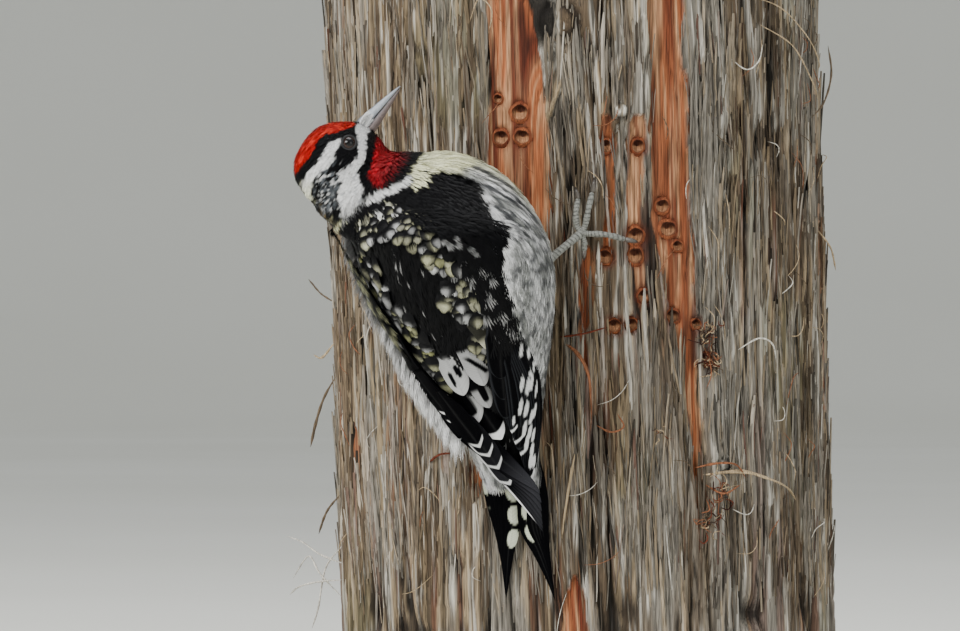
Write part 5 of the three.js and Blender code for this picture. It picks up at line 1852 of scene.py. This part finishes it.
def makeEyeBall(name, side, material):
    rows, around, r = 40, 64, eyes["radius"]
    turn = fullTurn(around)
    polar = np.linspace(0.02, math.pi - 0.02, rows)[:, None]
    out = r * np.cos(polar) + 0.22 * bell(polar, 0, 0.55)
    ahead = eyes["ahead"] + r * np.sin(polar) * np.cos(turn)
    up = eyes["up"] + r * np.sin(polar) * np.sin(turn)
    ball = headPoint(ahead, up, side * (eyes["out"] + out + 0 * turn))
    polar = np.repeat(polar[:, 0], around)
    colour = blend(paint(8, 7, 8), paint(44, 26, 18), ease(polar, 0.5, 0.56) * ease(polar, 0.95, 0.8))
    mesh = joinedMesh("eye_ball_" + name, [(*closedLoft(ball if side < 0 else ball[:, ::-1]), colour)])
    finishPiece(mesh, material, "eye", "eye_" + name)


def makeEyeLid(name, side, material):
    around, tubeSides, r = eyeLid["around"], eyeLid["tube"], eyes["radius"]
    turn, tube = fullTurn(around)[:, None], fullTurn(tubeSides)[None, :]
    thick = eyeLid["thick"] * (1 + 0.10 * np.sin(turn * eyeLid["beads"]))
    x, y = eyeLid["wide"] * np.cos(turn), eyeLid["tall"] * np.sin(turn)
    depth = eyes["out"] + np.sqrt(np.maximum(r**2 - (x**2 + y**2), 0.2)) + 0.25
    lid = headPoint(eyes["ahead"] + x + thick * np.cos(tube) * np.cos(turn),
                    eyes["up"] + y + thick * np.cos(tube) * np.sin(turn),
                    side * (depth + 0.8 * thick * np.sin(tube)))
    faces = gridFaces(around + 1, tubeSides, wrap=True) % (around * tubeSides)
    mesh = newMesh("eye_lid_" + name, lid.reshape(-1, 3), [faces if side > 0 else faces[:, ::-1]])
    # painted shade: the lid is lighter on its beads and darker in the gaps between them
    tone = np.repeat(0.75 + 0.25 * np.sin(turn[:, 0] * eyeLid["beads"]), tubeSides)
    setTint(mesh, paint(13, 13, 16) * tone[:, None])
    finishPiece(mesh, material, "plumage_head")


def makeEyes():
    wet, tree, shader = newMaterial("wetEye", Roughness=0.05, Specular_IOR_Level=0.35)
    tint = addNode(tree, "ShaderNodeAttribute", attribute_name="tint")
    tree.links.new(tint.outputs["Color"], shader.inputs["Base Color"])
    lid = grainyMaterial("eyeLid", 3000, 2.0, (0.7, 1.15), (0.6, 0.1), Roughness=0.6)
    for name, side in (("right", 1), ("left", -1)):
        makeEyeBall(name, side, wet)
        makeEyeLid(name, side, lid)


feet = {"right": {"arc": 0.7, "z": 188.6, "high": 2.7, "out": 1},
        "left": {"arc": -50, "z": 183.5, "high": 2.7, "out": -1}}
toes = {  # reach and claw of each toe as arc, height up the trunk and height off the bark
    1: (((0.9, -3, -0.2), (0.9, -4.4, -0.6), (0.8, -6.2, -1.3)), ((0.7, -8.2, -0.8), (0.8, -9.6, -2.6))),
    2: (((-1.5, 2.7, 0.2), (-1.6, 7, 0.5), (-0.7, 12, -1.2)), ((-1.2, 14.4, -0.2), (-1.6, 16, -2.5))),
    3: (((1.4, 2.8, 0.2), (2.5, 7.8, 0.7), (4.2, 14.2, -1.2)), ((4.8, 17.4, -0.1), (5.1, 19.4, -2.5))),
    4: (((3.1, -0.3, 0.2), (8.4, -0.6, 0.7), (15, -2.2, -1.2)), ((18, -2.8, -0.1), (19.8, -3.2, -2.5))),
}
toeRadius = 1.02
clawRadius = 0.9


def scaly(rows, every, amount=0.09):
    t = np.arange(rows) / every
    return 1 + amount * (1 - (t % 1) ** 0.7) - amount / 2


def footColour(t, turn):
    grey = paint(138, 139, 133)
    crack = ease(np.sin(t * 2 * math.pi * 12 + 0.8 * np.sin(turn * 2)), 0.35, 0.9)
    tone = 0.7 + 0.5 * noiseAt(81, t * 30, turn * 2) - 0.5 * crack
    return grey * tone[:, None]


def clawColour(t, turn):
    return blend(paint(96, 90, 84), paint(40, 36, 34), ease(t, 0.1, 0.9))


def makeLegs():
    skinMaterial = grainyMaterial("scalyFeet", 2200, 3.0, (0.65, 1.2), (0.6, 0.2), Roughness=0.55,
                                  Specular_IOR_Level=0.35)
    horn = grainyMaterial("clawHorn", 1500, 2.0, (0.8, 1.15), Roughness=0.3)
    for name, foot in feet.items():
        ankle = np.array(hips[name][1], float)
        joint = onTrunk(foot["arc"], foot["z"], foot["high"] + 0.2)

        def spot(offset):
            return onTrunk(foot["arc"] + foot["out"] * offset[0], foot["z"] + offset[1],
                           foot["high"] + offset[2])

        parts = [{"points": [ankle, mix(ankle, joint, 0.35), mix(ankle, joint, 0.7), joint],
                  "radii": [2.1, 1.5, 1.3, 1.35, 1.6], "rows": 70, "columns": 18, "bump": scaly(70, 6)}]
        claws = []
        for reach, claw in toes.values():
            parts.append({"points": [spot((0, 0, 0.1)), *[spot(o) for o in reach]], "rows": 64, "columns": 16,
                          "radii": toeRadius * np.array([1.1, 1.05, 0.98, 1.12, 0.92, 1.05, 0.8]),
                          "bump": scaly(64, 5)})
            claws.append({"points": [spot(reach[-1]), *[spot(o) for o in claw]], "rows": 30, "columns": 14,
                          "radii": clawRadius * np.array([1.0, 0.95, 0.72, 0.42, 0.12])})
        scales = tubeMesh("foot_skin_" + name, parts, footColour)
        finishPiece(scales, skinMaterial, "foot_skin", "tarsus_" + name, *[f"toe{k}_{name}" for k in toes])
        nails = tubeMesh("foot_claws_" + name, claws, clawColour)
        finishPiece(nails, horn, "claw", *[f"claw{k}_{name}" for k in toes])


makeBill()
nasalTufts()
makeEyes()
makeLegs()
print("bill, eyes and feet")


# the display stand

stand = {"radius": 102, "thick": 13, "lowEdge": 0.8, "topEdge": 2.4,
         "rod": 5.5, "rodEdge": 0.4, "spread": 34, "rodLow": 6, "rodHigh": 58}


def lathe(name, *profile):
    return joinedMesh(name, [(*closedLoft(turned(*profile)), None)])


def makeStand():
    r, h, low, top = (stand[key] for key in ("radius", "thick", "lowEdge", "topEdge"))
    bend = np.linspace(0, math.pi / 2, 10)
    lower = [(r - low + low * math.sin(t), low - low * math.cos(t)) for t in bend]
    upper = [(r - top + top * math.cos(t), h - top + top * math.sin(t)) for t in bend]
    inner = [(r * k, h) for k in np.linspace(0.95, 0.01, 24)]
    outer = [(r * k, 0) for k in np.linspace(0.01, 0.97, 12)]
    mesh = lathe("stand_base_wood", [*outer, *lower, *upper, *inner], 200)
    material, tree, shader = newMaterial("darkWood", Roughness=0.38, Coat_Weight=0.25, Coat_Roughness=0.25)
    grain = stretchedNoise(tree, (14, 260, 260), 5.0)
    colour = ramp(tree, grain, (0.3, paint(38, 26, 19)), (0.5, paint(62, 42, 29)), (0.7, paint(84, 58, 40)))
    tree.links.new(colour, shader.inputs["Base Color"])
    bumpOf(tree, shader, grain, 0.2, 0.2)
    finishPiece(mesh, material, "stand_wood", "stand_base")
    brass, tree, shader = newMaterial("brushedBrass", Metallic=1.0, Roughness=0.3,
                                      Base_Color=(*paint(188, 150, 92), 1))
    bumpOf(tree, shader, stretchedNoise(tree, (3000, 3000, 40), 2.0), 0.25, 0.05)
    for k, x in enumerate((-stand["spread"], stand["spread"])):
        c, edge, low, high = (stand[key] for key in ("rod", "rodEdge", "rodLow", "rodHigh"))
        profile = [(0.05, low), (c - edge, low), (c, low + edge),
                   *[(c, z) for z in np.linspace(low + 4, high - 4, 10)],
                   (c, high - edge), (c - edge, high), (0.05, high)]
        rod = lathe(f"stand_rod_brass_{k + 1}", profile, 64, (x, 0))
        finishPiece(rod, brass, "rod", f"stand_rod_{k + 1}")
    print("stand")


makeStand()
